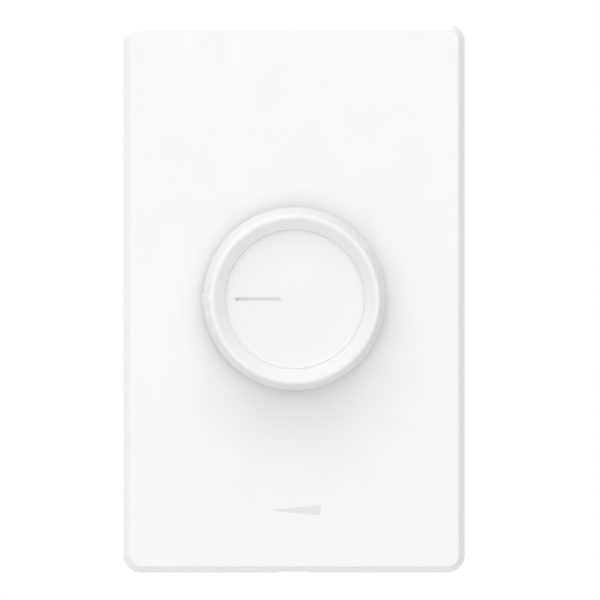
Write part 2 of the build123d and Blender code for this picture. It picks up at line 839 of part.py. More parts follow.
# Control shaft: flat for the knob, round in the bushing, ring groove, flat for the rotor, thin tail
with BuildPart() as control_shaft:
    with BuildSketch(section()) as shaft_section:
        with BuildLine():
            groove_front = -(pot_front + ring_gap) + ring_clearance
            groove_back = groove_front - ring_thickness - 2 * ring_clearance
            Polyline(
                (0, shaft_front),
                (shaft_radius, shaft_front),
                (shaft_radius, groove_front),
                (ring_groove_radius, groove_front),
                (ring_groove_radius, groove_back),
                (shaft_radius, groove_back),
                (shaft_radius, -shaft_end),
                (tail_radius, -shaft_end),
                (tail_radius, -tail_end),
                (0, -tail_end),
                close=True,
            )
        make_face()
        chamfer(shaft_section.vertices().group_by(Axis.Y)[-1].sort_by(Axis.X)[-1], shaft_radius / 8)
    revolve(axis=axis_at())
    with BuildSketch(Plane.XZ.offset(shaft_front)):
        with Locations((0, shaft_flat)):
            Rectangle(2 * shaft_radius, shaft_radius, align=(Align.CENTER, Align.MIN))
    extrude(amount=hub_end - shaft_flat_overrun - shaft_front, mode=Mode.SUBTRACT)
    with BuildSketch(Plane.XZ.offset(-shaft_end)):
        with Locations((0, shaft_flat)):
            Rectangle(2 * shaft_radius, shaft_radius, align=(Align.CENTER, Align.MIN))
    extrude(amount=shaft_end + groove_back, mode=Mode.SUBTRACT)
control_shaft.part.label = "control_shaft"
export_step(control_shaft.part, "parts/control_shaft.step")

# Retaining ring in the shaft's groove, behind the flange
with BuildPart() as retaining_ring:
    with BuildSketch(Plane.XZ.offset(groove_front - ring_clearance)):
        Circle(ring_radius)
        Circle(ring_groove_radius + ring_clearance, mode=Mode.SUBTRACT)
        with Locations((0, -ring_radius)):
            Rectangle(ring_mouth, 2 * ring_radius, mode=Mode.SUBTRACT)
    extrude(amount=-ring_thickness)
retaining_ring.part.label = "retaining_ring"
export_step(retaining_ring.part, "parts/retaining_ring.step")

# Bushing: a neck through the yoke and a flange that closes the potentiometer
with BuildPart(Plane.XZ) as control_bushing:
    with BuildSketch(section()) as bushing_section:
        with BuildLine():
            bore = shaft_radius + bore_clearance
            Polyline(
                (bore, bushing_front),
                (bushing_radius, bushing_front),
                (bushing_radius, 0),
                (flange_radius, 0),
                (flange_radius, -flange_thickness),
                (bore, -flange_thickness),
                close=True,
            )
        make_face()
        neck_corner = bushing_section.vertices().group_by(Axis.Y)[-1].sort_by(Axis.X)[-1]
        chamfer(neck_corner, (bushing_radius - bore) / 3)
    revolve(axis=axis_at())
    with BuildSketch(Plane.XZ):
        with Locations((key_x, 0)):
            Rectangle(key_width, key_height)
    extrude(amount=yoke_thickness)
    crimp_recess = crimp_arc + degrees(2 * crimp_clearance / flange_radius)
    for tab in range(crimp_count):
        with BuildSketch(section(angle=crimp_angle + 360 / crimp_count * tab - crimp_recess / 2)):
            with BuildLine():
                Polyline(
                    (flange_radius - crimp_reach - crimp_clearance, 0),
                    (flange_radius + crimp_clearance, 0),
                    (flange_radius + crimp_clearance, -crimp_thickness),
                    (flange_radius - crimp_reach - crimp_clearance, -crimp_thickness),
                    close=True,
                )
            make_face()
        revolve(axis=axis_at(), revolution_arc=crimp_recess, mode=Mode.SUBTRACT)
control_bushing.part.label = "control_bushing"
export_step(control_bushing.part, "parts/control_bushing.step")

# Hexagonal nut and toothed washer that clamp the bushing to the yoke
with BuildPart() as bushing_nut:
    with BuildSketch(Plane.XZ.offset(washer_front)):
        RegularPolygon(nut_flats / 2, 6, major_radius=False)
        Circle(bushing_radius + tap_clearance, mode=Mode.SUBTRACT)
    extrude(amount=nut_thickness)
    with BuildSketch(section()):
        with BuildLine():
            nut_corner = nut_flats / 2 / cos(radians(30))
            Polyline(
                (0, washer_front),
                (nut_corner, washer_front),
                (nut_corner, nut_front - nut_corner + nut_flats / 2),
                (nut_flats / 2, nut_front),
                (0, nut_front),
                close=True,
            )
        make_face()
    revolve(axis=axis_at(), mode=Mode.INTERSECT)
bushing_nut.part.label = "bushing_nut"
export_step(bushing_nut.part, "parts/bushing_nut.step")

with BuildPart() as lock_washer:
    with BuildSketch(Plane.XZ.offset(yoke_thickness)):
        Circle(washer_radius)
        with PolarLocations(washer_radius, washer_tooth_count):
            Rectangle(2 * washer_tooth, washer_tooth, mode=Mode.SUBTRACT)
        Circle(bushing_radius + bushing_hole_clearance, mode=Mode.SUBTRACT)
    extrude(amount=washer_thickness)
lock_washer.part.label = "lock_washer"
export_step(lock_washer.part, "parts/lock_washer.step")

# Potentiometer case: a cup with a stop lug, crimped tabs and a window for the terminals
with BuildPart(Plane.XZ) as pot_case:
    with BuildSketch(Plane.XZ.offset(-pot_back)):
        Circle(pot_radius)
        Circle(rear_hole_radius, mode=Mode.SUBTRACT)
        with Locations((switch_peg_x, 0), (-switch_peg_x, 0)):
            Circle(switch_peg_radius + peg_clearance, mode=Mode.SUBTRACT)
    extrude(amount=pot_depth)
    with BuildSketch(Plane.XZ.offset(-track_back)):
        Circle(pot_radius - pot_wall)
    extrude(amount=track_back - pot_front, mode=Mode.SUBTRACT)
    with BuildSketch(section(angle=270 - stop_lug_arc / 2)):
        with BuildLine():
            lug_radius = rotor_radius + stop_clearance
            lug_front = -rotor_front + stop_clearance
            lug_back = -rotor_back - stop_clearance
            Polyline(
                (lug_radius, lug_front),
                (pot_radius - pot_wall / 2, lug_front),
                (pot_radius - pot_wall / 2, lug_back),
                (lug_radius, lug_back),
                close=True,
            )
        make_face()
    revolve(axis=axis_at(), revolution_arc=stop_lug_arc)
    for tab in range(crimp_count):
        with BuildSketch(section(angle=crimp_angle + 360 / crimp_count * tab - crimp_arc / 2)):
            with BuildLine():
                Polyline(
                    (flange_radius - crimp_reach, 0),
                    (pot_radius + crimp_thickness, 0),
                    (pot_radius + crimp_thickness, -pot_front - 2 * crimp_thickness),
                    (pot_radius - pot_wall / 2, -pot_front - 2 * crimp_thickness),
                    (pot_radius - pot_wall / 2, -pot_front),
                    (flange_radius, -pot_front),
                    (flange_radius, -crimp_thickness),
                    (flange_radius - crimp_reach, -crimp_thickness),
                    close=True,
                )
            make_face()
        revolve(axis=axis_at(), revolution_arc=crimp_arc)
    with BuildSketch(Plane.XZ.offset(-track_front)):
        with Locations((0, lead_inner_z)):
            Rectangle(2 * lead_pitch + 2 * lead_width, pot_radius, align=(Align.CENTER, Align.MAX))
    extrude(amount=2 * lead_thickness, mode=Mode.SUBTRACT)
pot_case.part.label = "pot_case"
export_step(pot_case.part, "parts/pot_case.step")

# Resistance disc on the case's rear wall
with BuildPart() as resistance_track:
    with BuildSketch(Plane.XZ.offset(-track_back)):
        Circle(pot_radius - pot_wall - track_clearance)
        Circle(rear_hole_radius + track_clearance, mode=Mode.SUBTRACT)
    extrude(amount=track_thickness)
resistance_track.part.label = "resistance_track"
export_step(resistance_track.part, "parts/resistance_track.step")

# Three terminals from the resistance disc out of the case and back through the circuit board
with BuildPart() as pot_terminals:
    for place in (-1, 0, 1):
        with BuildSketch(Plane.YZ.offset(place * lead_pitch - lead_width / 2)):
            with BuildLine():
                Polyline(
                    (track_front - lead_thickness, lead_inner_z),
                    (track_front, lead_inner_z),
                    (track_front, lead_bend_z + lead_thickness),
                    (pin_end, lead_bend_z + lead_thickness),
                    (pin_end, lead_bend_z),
                    (track_front - lead_thickness, lead_bend_z),
                    close=True,
                )
            make_face()
        extrude(amount=lead_width)
pot_terminals.part.label = "pot_terminals"
export_step(pot_terminals.part, "parts/pot_terminals.step")

# Rotor: carries the wiper, keyed to the shaft's flat, with an arm that meets the stop lug
with BuildPart() as pot_rotor:
    with BuildSketch(Plane.XZ.offset(-rotor_back)):
        Circle(rotor_radius)
    extrude(amount=rotor_thickness)
    with BuildSketch(section(angle=180 - stop_arm_arc / 2)):
        with BuildLine():
            arm_radius = pot_radius - pot_wall - stop_clearance
            Polyline(
                (rotor_radius - stop_clearance, -rotor_front),
                (arm_radius, -rotor_front),
                (arm_radius, -rotor_back),
                (rotor_radius - stop_clearance, -rotor_back),
                close=True,
            )
        make_face()
    revolve(axis=axis_at(), revolution_arc=stop_arm_arc)
    with BuildSketch(Plane.XZ.offset(-rotor_back)):
        Circle(shaft_radius + rotor_clearance)
        with Locations((0, shaft_flat + rotor_clearance)):
            Rectangle(
                2 * shaft_radius, shaft_radius, align=(Align.CENTER, Align.MIN), mode=Mode.SUBTRACT
            )
    extrude(amount=rotor_thickness, mode=Mode.SUBTRACT)
pot_rotor.part.label = "pot_rotor"
export_step(pot_rotor.part, "parts/pot_rotor.step")

# Wiper spring: a bronze ring with two sprung fingers that reach the resistance disc
with BuildPart() as wiper_spring:
    with BuildSketch(Plane.XZ.offset(-rotor_back)):
        Circle(wiper_base_radius)
        Circle(shaft_radius + 2 * rotor_clearance, mode=Mode.SUBTRACT)
    extrude(amount=-wiper_thickness)
    for direction in (0, 180):
        with BuildSketch(section(angle=direction)):
            with BuildLine():
                finger_tip = -track_front + wiper_gap
                Polyline(
                    (wiper_base_radius - wiper_width, -rotor_back),
                    (wiper_base_radius, -rotor_back),
                    (wiper_reach, finger_tip + wiper_thickness),
                    (wiper_reach, finger_tip),
                    (wiper_reach - wiper_thickness, finger_tip),
                    (wiper_base_radius - wiper_thickness, -rotor_back - wiper_thickness),
                    (wiper_base_radius - wiper_width, -rotor_back - wiper_thickness),
                    close=True,
                )
            make_face()
        extrude(amount=wiper_width / 2, both=True)
wiper_spring.part.label = "wiper_spring"
export_step(wiper_spring.part, "parts/wiper_spring.step")

# Switch case: a box with a nose hole, guides for the plunger and a pivot hole for the latch
with BuildPart(Plane.XZ) as switch_case:
    with BuildSketch(Plane.XZ.offset(-switch_open)):
        RectangleRounded(switch_width, switch_height, switch_wall)
    extrude(amount=switch_depth)
    with BuildSketch(Plane.XZ.offset(-switch_open)):
        Rectangle(switch_width - 2 * switch_wall, switch_height - 2 * switch_wall)
    extrude(amount=switch_depth - switch_wall, mode=Mode.SUBTRACT)
    with BuildSketch(Plane.XZ.offset(-switch_open)):
        guide_inner = plunger_width / 2 + slide_clearance
        guide_reach = switch_width / 2 - switch_wall - guide_inner
        for side in (-1, 1):
            with Locations((side * (guide_inner + guide_reach / 2), 0)):
                Rectangle(guide_reach, guide_height)
    extrude(amount=switch_depth - switch_wall)
    with BuildSketch(Plane.XZ.offset(-pot_back)):
        Circle(nose_radius + slide_clearance)
    extrude(amount=-switch_wall, mode=Mode.SUBTRACT)
    with BuildSketch(Plane.XY.offset(switch_height / 2 - switch_wall)):
        with Locations((0, latch_pivot)):
            Circle(latch_wire_radius + pivot_clearance)
    extrude(amount=switch_wall, mode=Mode.SUBTRACT)
    with BuildSketch(Plane.XZ.offset(-pot_back)):
        with Locations((switch_peg_x, 0), (-switch_peg_x, 0)):
            Circle(switch_peg_radius)
    extrude(amount=pot_rear_wall - peg_clearance)
switch_case.part.label = "switch_case"
export_step(switch_case.part, "parts/switch_case.step")

# Switch base: closes the case, seats the spring and holds the fixed contacts
with BuildPart(Plane.XZ) as switch_base:
    with BuildSketch(Plane.XZ.offset(-switch_back)):
        RectangleRounded(switch_width, switch_height, switch_wall)
        with Locations((contact_x, bridge_z), (-contact_x, bridge_z)):
            Circle(pin_radius + tap_clearance, mode=Mode.SUBTRACT)
    extrude(amount=switch_base_thickness)
    with BuildSketch(Plane.XZ.offset(-switch_open)):
        Circle(spring_seat_radius)
    extrude(amount=spring_seat_height)
switch_base.part.label = "switch_base"
export_step(switch_base.part, "parts/switch_base.step")

# Plunger: nose, body with a spring pocket behind, foot for the bridge and heart cam on top
with BuildPart(Plane.XZ) as switch_plunger:
    with BuildSketch(Plane.XZ.offset(-plunger_back)):
        RectangleRounded(plunger_width, plunger_height, cam_depth / 2)
    extrude(amount=plunger_length)
    with BuildSketch(Plane.XZ.offset(-plunger_front)):
        Circle(nose_radius)
    extrude(amount=plunger_front - tail_end)
    with BuildSketch(Plane.XZ.offset(-foot_back)):
        with Locations((0, -plunger_height / 2)):
            Rectangle(foot_width, 2 * foot_height)
    extrude(amount=foot_length)
    with BuildSketch(Plane.XZ.offset(-plunger_back)):
        Circle(spring_pocket_radius)
    extrude(amount=spring_pocket_depth, mode=Mode.SUBTRACT)
    with BuildSketch(Plane.XZ.offset(-foot_back)):
        with Locations((0, bridge_z)):
            Circle(bridge_peg_radius)
    extrude(amount=-bridge_thickness)
    cam_floor = plunger_height / 2 - cam_depth
    with BuildSketch(Plane.XY.offset(cam_floor)) as cam_pocket:
        with BuildLine():
            Polyline(
                (-cam_narrow, latch_tip + cam_narrow),
                (cam_narrow, latch_tip + cam_narrow),
                (cam_wide, latch_tip - push_travel - latch_wire_radius),
                (-cam_wide, latch_tip - push_travel - latch_wire_radius),
                close=True,
            )
        make_face()
        fillet(cam_pocket.vertices(), latch_wire_radius)
    extrude(amount=cam_depth, mode=Mode.SUBTRACT)
    with BuildSketch(Plane.XY.offset(cam_floor)):
        with BuildLine():
            Polyline(
                (0, latch_tip - heart_point),
                (heart_width / 2, latch_tip - heart_lobe),
                (0, latch_tip - heart_notch),
                (-heart_width / 2, latch_tip - heart_lobe),
                close=True,
            )
        make_face()
    extrude(amount=cam_depth)
switch_plunger.part.label = "switch_plunger"
export_step(switch_plunger.part, "parts/switch_plunger.step")

# Return spring between the plunger's pocket and the base, a coil with its ends on both seats
with BuildPart() as plunger_spring:
    with BuildLine() as coil:
        coil_length = switch_open - pocket_floor - spring_wire
        Helix(
            pitch=coil_length / spring_turns,
            height=coil_length,
            radius=spring_mean_radius,
            center=(0, pocket_floor + spring_wire / 2, 0),
            direction=(0, 1, 0),
        )
    with BuildSketch(Plane(origin=coil.line @ 0, z_dir=coil.line % 0)):
        Circle(spring_wire / 2)
    sweep(is_frenet=True)
plunger_spring.part.label = "plunger_spring"
export_step(plunger_spring.part, "parts/plunger_spring.step")

# Latch wire: a pivot leg in the case's top wall, a run to the front and a tip in the cam pocket
with BuildPart() as latch_wire:
    with BuildLine() as wire_route:
        FilletPolyline(
            (0, latch_pivot, switch_height / 2 - pivot_clearance),
            (0, latch_pivot, latch_run_z),
            (0, latch_tip, latch_run_z),
            (0, latch_tip, cam_floor + cam_tip_gap),
            radius=latch_bend,
        )
    with BuildSketch(Plane(origin=wire_route.line @ 0, z_dir=wire_route.line % 0)):
        Circle(latch_wire_radius)
    sweep()
latch_wire.part.label = "latch_wire"
export_step(latch_wire.part, "parts/latch_wire.step")

# Bridge contact on the plunger's foot
with BuildPart() as moving_contact:
    with BuildSketch(Plane.XZ.offset(-foot_back)):
        with Locations((0, bridge_z)):
            RectangleRounded(bridge_width, bridge_height, bridge_thickness)
            Circle(bridge_peg_radius + tap_clearance, mode=Mode.SUBTRACT)
    extrude(amount=-bridge_thickness)
moving_contact.part.label = "moving_contact"
export_step(moving_contact.part, "parts/moving_contact.step")

# Fixed contacts: rivets on the base whose pins go on through the circuit board
with BuildPart() as fixed_contacts:
    contact_front = foot_back + bridge_thickness + push_travel + contact_gap
    for side in (-1, 1):
        with BuildSketch(Plane.XZ.offset(-contact_front)):
            with Locations((side * contact_x, bridge_z)):
                Circle(contact_radius)
        extrude(amount=contact_front - switch_open)
        with BuildSketch(Plane.XZ.offset(-switch_open)):
            with Locations((side * contact_x, bridge_z)):
                Circle(pin_radius)
        extrude(amount=switch_open - pin_end)
fixed_contacts.part.label = "fixed_contacts"
export_step(fixed_contacts.part, "parts/fixed_contacts.step")

# Circuit board with notches for the housing's bosses and holes for every lead
with BuildPart(Plane.XZ) as circuit_board:
    notch = boss_radius + board_gap
    with BuildSketch(Plane.XZ.offset(-board_back)):
        Rectangle(2 * (inner_side - board_gap), 2 * (inner_end - board_gap))
        with GridLocations(2 * housing_screw_x, 2 * housing_screw_z, 2, 2):
            Rectangle(2 * notch, 2 * notch, mode=Mode.SUBTRACT)
        with Locations((contact_x, bridge_z), (-contact_x, bridge_z)):
            Circle(pin_radius + pin_clearance, mode=Mode.SUBTRACT)
        with Locations((0, lead_bend_z + lead_thickness / 2)):
            with GridLocations(lead_pitch, 0, 3, 1):
                Rectangle(
                    lead_width + 2 * pin_clearance,
                    lead_thickness + 2 * pin_clearance,
                    mode=Mode.SUBTRACT,
                )
        with Locations((triac_x, triac_lead_z)):
            with GridLocations(triac_lead_pitch, 0, 3, 1):
                Rectangle(
                    triac_lead_width + 2 * pin_clearance,
                    triac_lead_thickness + 2 * pin_clearance,
                    mode=Mode.SUBTRACT,
                )
        for side, height in terminals:
            with Locations((side * (alcove_floor + terminal_plate_thickness / 2), height)):
                Rectangle(
                    terminal_plate_thickness + 2 * slot_clearance,
                    tail_height + 2 * slot_clearance,
                    mode=Mode.SUBTRACT,
                )
        with Locations(*component_holes):
            Circle(component_lead_radius + pin_clearance, mode=Mode.SUBTRACT)
    extrude(amount=board_thickness)
circuit_board.part.label = "circuit_board"
export_step(circuit_board.part, "parts/circuit_board.step")

# Triac: tab and body in one package against the yoke, three leads bent back to the board
with BuildPart() as triac:
    with BuildSketch(Plane.XZ.offset(-insulator_thickness)):
        with Locations((triac_x, triac_top - triac_length / 2)):
            Rectangle(triac_width, triac_length)
        with Locations((triac_x, rivet_z)):
            Circle(rivet_radius + shank_clearance, mode=Mode.SUBTRACT)
    extrude(amount=-triac_tab)
    with BuildSketch(Plane.XZ.offset(-insulator_thickness)):
        with Locations((triac_x, triac_top - triac_length + triac_body_length / 2)):
            Rectangle(triac_width, triac_body_length)
    extrude(amount=-triac_body_depth, taper=triac_draft)
    for place in (-1, 0, 1):
        lead_left = triac_x + place * triac_lead_pitch - triac_lead_width / 2
        with BuildSketch(Plane.YZ.offset(lead_left)):
            with BuildLine():
                lead_top = insulator_thickness + triac_body_depth / 2
                Polyline(
                    (lead_top, triac_lead_z + 2 * triac_lead_thickness),
                    (lead_top, triac_lead_z - triac_lead_thickness / 2),
                    (pin_end, triac_lead_z - triac_lead_thickness / 2),
                    (pin_end, triac_lead_z + triac_lead_thickness / 2),
                    (lead_top + triac_lead_thickness, triac_lead_z + triac_lead_thickness / 2),
                    (lead_top + triac_lead_thickness, triac_lead_z + 2 * triac_lead_thickness),
                    close=True,
                )
            make_face()
        extrude(amount=triac_lead_width)
triac.part.label = "triac"
export_step(triac.part, "parts/triac.step")

# Insulating sheet between the triac and the yoke
with BuildPart() as triac_insulator:
    with BuildSketch(Plane.XZ.offset(-insulator_thickness)):
        with Locations((triac_x, triac_top - triac_length / 2)):
            Rectangle(triac_width + 2 * insulator_margin, triac_length + insulator_margin)
        with Locations((triac_x, rivet_z)):
            Circle(rivet_radius + shank_clearance, mode=Mode.SUBTRACT)
    extrude(amount=insulator_thickness)
triac_insulator.part.label = "triac_insulator"
export_step(triac_insulator.part, "parts/triac_insulator.step")

# Rivet that clamps the triac to the yoke
with BuildPart() as triac_rivet:
    with BuildSketch(section(triac_x, rivet_z)):
        with BuildLine():
            rivet_tail = -insulator_thickness - triac_tab
            Polyline(
                (0, yoke_thickness + rivet_head_height),
                (rivet_head_radius / 2, yoke_thickness + rivet_head_height),
                (rivet_head_radius, yoke_thickness + rivet_head_height / 2),
                (rivet_head_radius, yoke_thickness),
                (rivet_radius, yoke_thickness),
                (rivet_radius, rivet_tail),
                (rivet_head_radius, rivet_tail),
                (rivet_head_radius, rivet_tail - rivet_head_height / 2),
                (rivet_head_radius / 2, rivet_tail - rivet_head_height),
                (0, rivet_tail - rivet_head_height),
                close=True,
            )
        make_face()
    revolve(axis=axis_at(triac_x, rivet_z))
triac_rivet.part.label = "triac_rivet"
export_step(triac_rivet.part, "parts/triac_rivet.step")

# Choke: a ferrite ring standing off the board in its winding
with BuildPart() as choke_core:
    with BuildSketch(section(0, choke_z)) as core_section:
        with Locations(((choke_radius + choke_hole_radius) / 2, choke_middle)):
            RectangleRounded(choke_radius - choke_hole_radius, choke_height, winding_thickness / 2)
    revolve(axis=axis_at(0, choke_z))
choke_core.part.label = "choke_core"
export_step(choke_core.part, "parts/choke_core.step")

with BuildPart() as choke_winding:
    with BuildSketch(section(0, choke_z, 270 + winding_gap_arc / 2)):
        with Locations(((choke_radius + choke_hole_radius) / 2, choke_middle)):
            RectangleRounded(
                choke_radius - choke_hole_radius + 2 * winding_thickness,
                choke_height + 2 * winding_thickness,
                1.5 * winding_thickness,
            )
            RectangleRounded(
                choke_radius - choke_hole_radius + 2 * track_clearance,
                choke_height + 2 * track_clearance,
                winding_thickness / 2 + track_clearance,
                mode=Mode.SUBTRACT,
            )
    revolve(axis=axis_at(0, choke_z), revolution_arc=360 - winding_gap_arc)
    with BuildSketch(Plane.XZ.offset(-pin_end)):
        with Locations(*choke_holes):
            Circle(component_lead_radius)
    extrude(amount=pin_end - board_front + winding_thickness / 2)
choke_winding.part.label = "choke_winding"
export_step(choke_winding.part, "parts/choke_winding.step")

# Film capacitors, boxes with two leads each
with BuildPart() as film_capacitor:
    with BuildSketch(Plane.XZ.offset(-board_front)):
        with Locations((film_x, film_z)):
            RectangleRounded(film_width, film_length, film_width / 10)
    extrude(amount=film_height)
    with BuildSketch(Plane.XZ.offset(-board_front)):
        with Locations(*film_holes):
            Circle(component_lead_radius)
    extrude(amount=board_front - pin_end)
film_capacitor.part.label = "film_capacitor"
export_step(film_capacitor.part, "parts/film_capacitor.step")

with BuildPart() as timing_capacitor:
    with BuildSketch(Plane.XZ.offset(-board_front)):
        with Locations((timing_x, timing_z)):
            RectangleRounded(timing_width, timing_length, timing_width / 6)
    extrude(amount=timing_height)
    with BuildSketch(Plane.XZ.offset(-board_front)):
        with Locations(*timing_holes):
            Circle(component_lead_radius)
    extrude(amount=board_front - pin_end)
timing_capacitor.part.label = "timing_capacitor"
export_step(timing_capacitor.part, "parts/timing_capacitor.step")

# Small parts that lie on the board: a glass trigger diode and two resistors
with BuildPart() as diac:
    with BuildSketch(Plane.XY.offset(-diac_length / 2)):
        with Locations((timing_x, board_front - diac_radius)):
            Circle(diac_radius)
    extrude(amount=diac_length)
    with BuildSketch(Plane.XY.offset(-diac_length / 2 - lead_overhang)):
        with Locations((timing_x, board_front - diac_radius)):
            Circle(component_lead_radius)
    extrude(amount=diac_length + 2 * lead_overhang)
    with BuildSketch(Plane.XZ.offset(component_lead_radius + diac_radius - board_front)):
        with Locations(*diac_holes):
            Circle(component_lead_radius)
    extrude(amount=board_front - diac_radius - component_lead_radius - pin_end)
diac.part.label = "diac"
export_step(diac.part, "parts/diac.step")

with BuildPart() as resistors:
    for x in resistor_positions:
        with BuildSketch(Plane.XY.offset(-resistor_length / 2)):
            with Locations((x, board_front - resistor_radius)):
                Circle(resistor_radius)
        extrude(amount=resistor_length)
        with BuildSketch(Plane.XY.offset(-resistor_length / 2 - lead_overhang)):
            with Locations((x, board_front - resistor_radius)):
                Circle(component_lead_radius)
        extrude(amount=resistor_length + 2 * lead_overhang)
    with BuildSketch(Plane.XZ.offset(component_lead_radius + resistor_radius - board_front)):
        with Locations(*resistor_holes):
            Circle(component_lead_radius)
    extrude(amount=board_front - resistor_radius - component_lead_radius - pin_end)
resistors.part.label = "resistors"
export_step(resistors.part, "parts/resistors.step")

# Back housing: a drafted cup with screw bosses, board posts and alcoves for the side terminals
with BuildPart(Plane.XZ) as back_housing:
    with BuildSketch(-Plane.XZ):
        RectangleRounded(housing_width, housing_height, housing_corner)
    extrude(amount=housing_depth, taper=housing_draft)
    fillet(back_housing.faces().sort_by(Axis.Y)[-1].edges(), housing_rear_round)
    with BuildSketch(-Plane.XZ):
        RectangleRounded(
            housing_width - 2 * housing_wall,
            housing_height - 2 * housing_wall,
            housing_corner - housing_wall,
        )
    extrude(amount=housing_depth - housing_wall, taper=housing_draft, mode=Mode.SUBTRACT)
    with BuildSketch(Plane.XZ.offset(-boss_depth)):
        with GridLocations(2 * housing_screw_x, 2 * housing_screw_z, 2, 2):
            Circle(boss_radius)
    extrude(amount=boss_depth)
    with BuildSketch(Plane.XZ.offset(-board_back)):
        with GridLocations(2 * post_x, 2 * post_z, 2, 2):
            Circle(post_radius)
    extrude(amount=board_back - housing_depth + housing_wall / 2)
    for side, height in terminals:
        with BuildSketch(Plane.YZ.offset(side * floor_inner)):
            with Locations((terminal_depth, height)):
                Rectangle(alcove_length + 2 * alcove_wall, alcove_height + 2 * alcove_wall)
        extrude(amount=side * (housing_width / 2 - housing_wall / 2 - floor_inner))
    for side, height in terminals:
        with BuildSketch(Plane.YZ.offset(side * alcove_floor)):
            with Locations((terminal_depth, height)):
                Rectangle(alcove_length, alcove_height)
        extrude(amount=side * (housing_width - alcove_floor), mode=Mode.SUBTRACT)
        with BuildSketch(Plane.YZ.offset(side * alcove_floor)):
            with Locations((terminal_depth, height)):
                Circle(terminal_screw_radius + shank_clearance)
        extrude(amount=-side * alcove_wall, mode=Mode.SUBTRACT)
        with BuildSketch(Plane.XZ.offset(-terminal_depth)):
            with Locations((side * (alcove_floor + terminal_plate_thickness / 2), height)):
                Rectangle(terminal_plate_thickness + 2 * slot_clearance, tail_height + 2 * slot_clearance)
        extrude(amount=-alcove_length / 2 - 2 * alcove_wall, mode=Mode.SUBTRACT)
    with BuildSketch(Plane.XZ.offset(-boss_depth)):
        with GridLocations(2 * housing_screw_x, 2 * housing_screw_z, 2, 2):
            Circle(small_screw_radius + tap_clearance)
    extrude(amount=boss_depth, mode=Mode.SUBTRACT)
    with BuildSketch(Plane.XZ.offset(-housing_depth)):
        SlotOverall(gauge_length, gauge_width)
    extrude(amount=gauge_depth, mode=Mode.SUBTRACT)
back_housing.part.label = "back_housing"
export_step(back_housing.part, "parts/back_housing.step")

# Screws from the yoke into the housing's bosses
with BuildPart() as housing_screws:
    for x in (-housing_screw_x, housing_screw_x):
        for z in (-housing_screw_z, housing_screw_z):
            with BuildSketch(section(x, z)):
                with BuildLine():
                    housing_head_top = yoke_thickness + housing_head_height
                    Polyline(
                        (0, housing_head_top),
                        (housing_head_radius - housing_head_height / 2, housing_head_top),
                        (housing_head_radius, yoke_thickness + housing_head_height / 2),
                        (housing_head_radius, yoke_thickness),
                        (small_screw_radius, yoke_thickness),
                        (small_screw_radius, yoke_thickness - housing_screw_length + small_screw_radius),
                        (0, yoke_thickness - housing_screw_length),
                        close=True,
                    )
                make_face()
            revolve(axis=axis_at(x, z))
            with BuildSketch(Plane.XZ.offset(housing_head_top)):
                with Locations((x, z)):
                    Rectangle(2 * housing_head_radius, drive_slot_width)
            extrude(amount=-housing_head_height / 2, mode=Mode.SUBTRACT)
housing_screws.part.label = "housing_screws"
export_step(housing_screws.part, "parts/housing_screws.step")

# Terminal plates on the alcove floors, each with a tail back through the board
with BuildPart(Plane.XZ) as terminal_plates:
    for side, height in terminals:
        plate_start = terminal_depth - terminal_plate_length / 2
        with BuildSketch(Plane.YZ.offset(side * alcove_floor)):
            with Locations((terminal_depth, height)):
                Rectangle(terminal_plate_length, terminal_plate_height)
            with Locations(((plate_start + pin_end) / 2, height)):
                Rectangle(pin_end - plate_start, tail_height)
            with Locations((terminal_depth, height)):
                Circle(terminal_screw_radius + tap_clearance, mode=Mode.SUBTRACT)
        extrude(amount=side * terminal_plate_thickness)
terminal_plates.part.label = "terminal_plates"
export_step(terminal_plates.part, "parts/terminal_plates.step")

# Clamp plates under the screw heads, turned over along two edges
with BuildPart(Plane.XZ) as clamp_plates:
    clamp_floor = alcove_floor + terminal_plate_thickness + clamp_gap
    for side, height in terminals:
        with BuildSketch(Plane.YZ.offset(side * clamp_floor)):
            with Locations((terminal_depth, height)):
                Rectangle(clamp_size, clamp_size)
                Circle(terminal_screw_radius + shank_clearance, mode=Mode.SUBTRACT)
        extrude(amount=side * clamp_thickness)
        with BuildSketch(Plane.YZ.offset(side * (clamp_floor + clamp_thickness))):
            with Locations((terminal_depth, height)):
                with GridLocations(clamp_size - clamp_thickness, 0, 2, 1):
                    Rectangle(clamp_thickness, clamp_size)
        extrude(amount=side * clamp_bend)
clamp_plates.part.label = "clamp_plates"
export_step(clamp_plates.part, "parts/clamp_plates.step")

# Terminal screws, backed out as delivered
with BuildPart(Plane.XZ) as terminal_screws:
    head_seat = clamp_floor + clamp_thickness
    for side, height in terminals:
        with BuildSketch(Plane.YZ.offset(side * head_seat)):
            with Locations((terminal_depth, height)):
                Circle(terminal_head_radius - clamp_bend)
        extrude(amount=side * terminal_head_height)
        with BuildSketch(Plane.YZ.offset(side * (head_seat + clamp_bend))):
            with Locations((terminal_depth, height)):
                Circle(terminal_head_radius)
        extrude(amount=side * (terminal_head_height - clamp_bend))
        with BuildSketch(Plane.YZ.offset(side * head_seat)):
            with Locations((terminal_depth, height)):
                Circle(terminal_screw_radius)
        extrude(amount=-side * terminal_screw_length)
        with BuildSketch(Plane.YZ.offset(side * (head_seat + terminal_head_height))):
            with Locations((terminal_depth, height)):
                Rectangle(2 * terminal_head_radius, drive_slot_width)
        extrude(amount=-side * terminal_head_height / 2, mode=Mode.SUBTRACT)
terminal_screws.part.label = "terminal_screws"
export_step(terminal_screws.part, "parts/terminal_screws.step")
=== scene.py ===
import json
import math

import bmesh
import bpy
from mathutils import Matrix, Vector


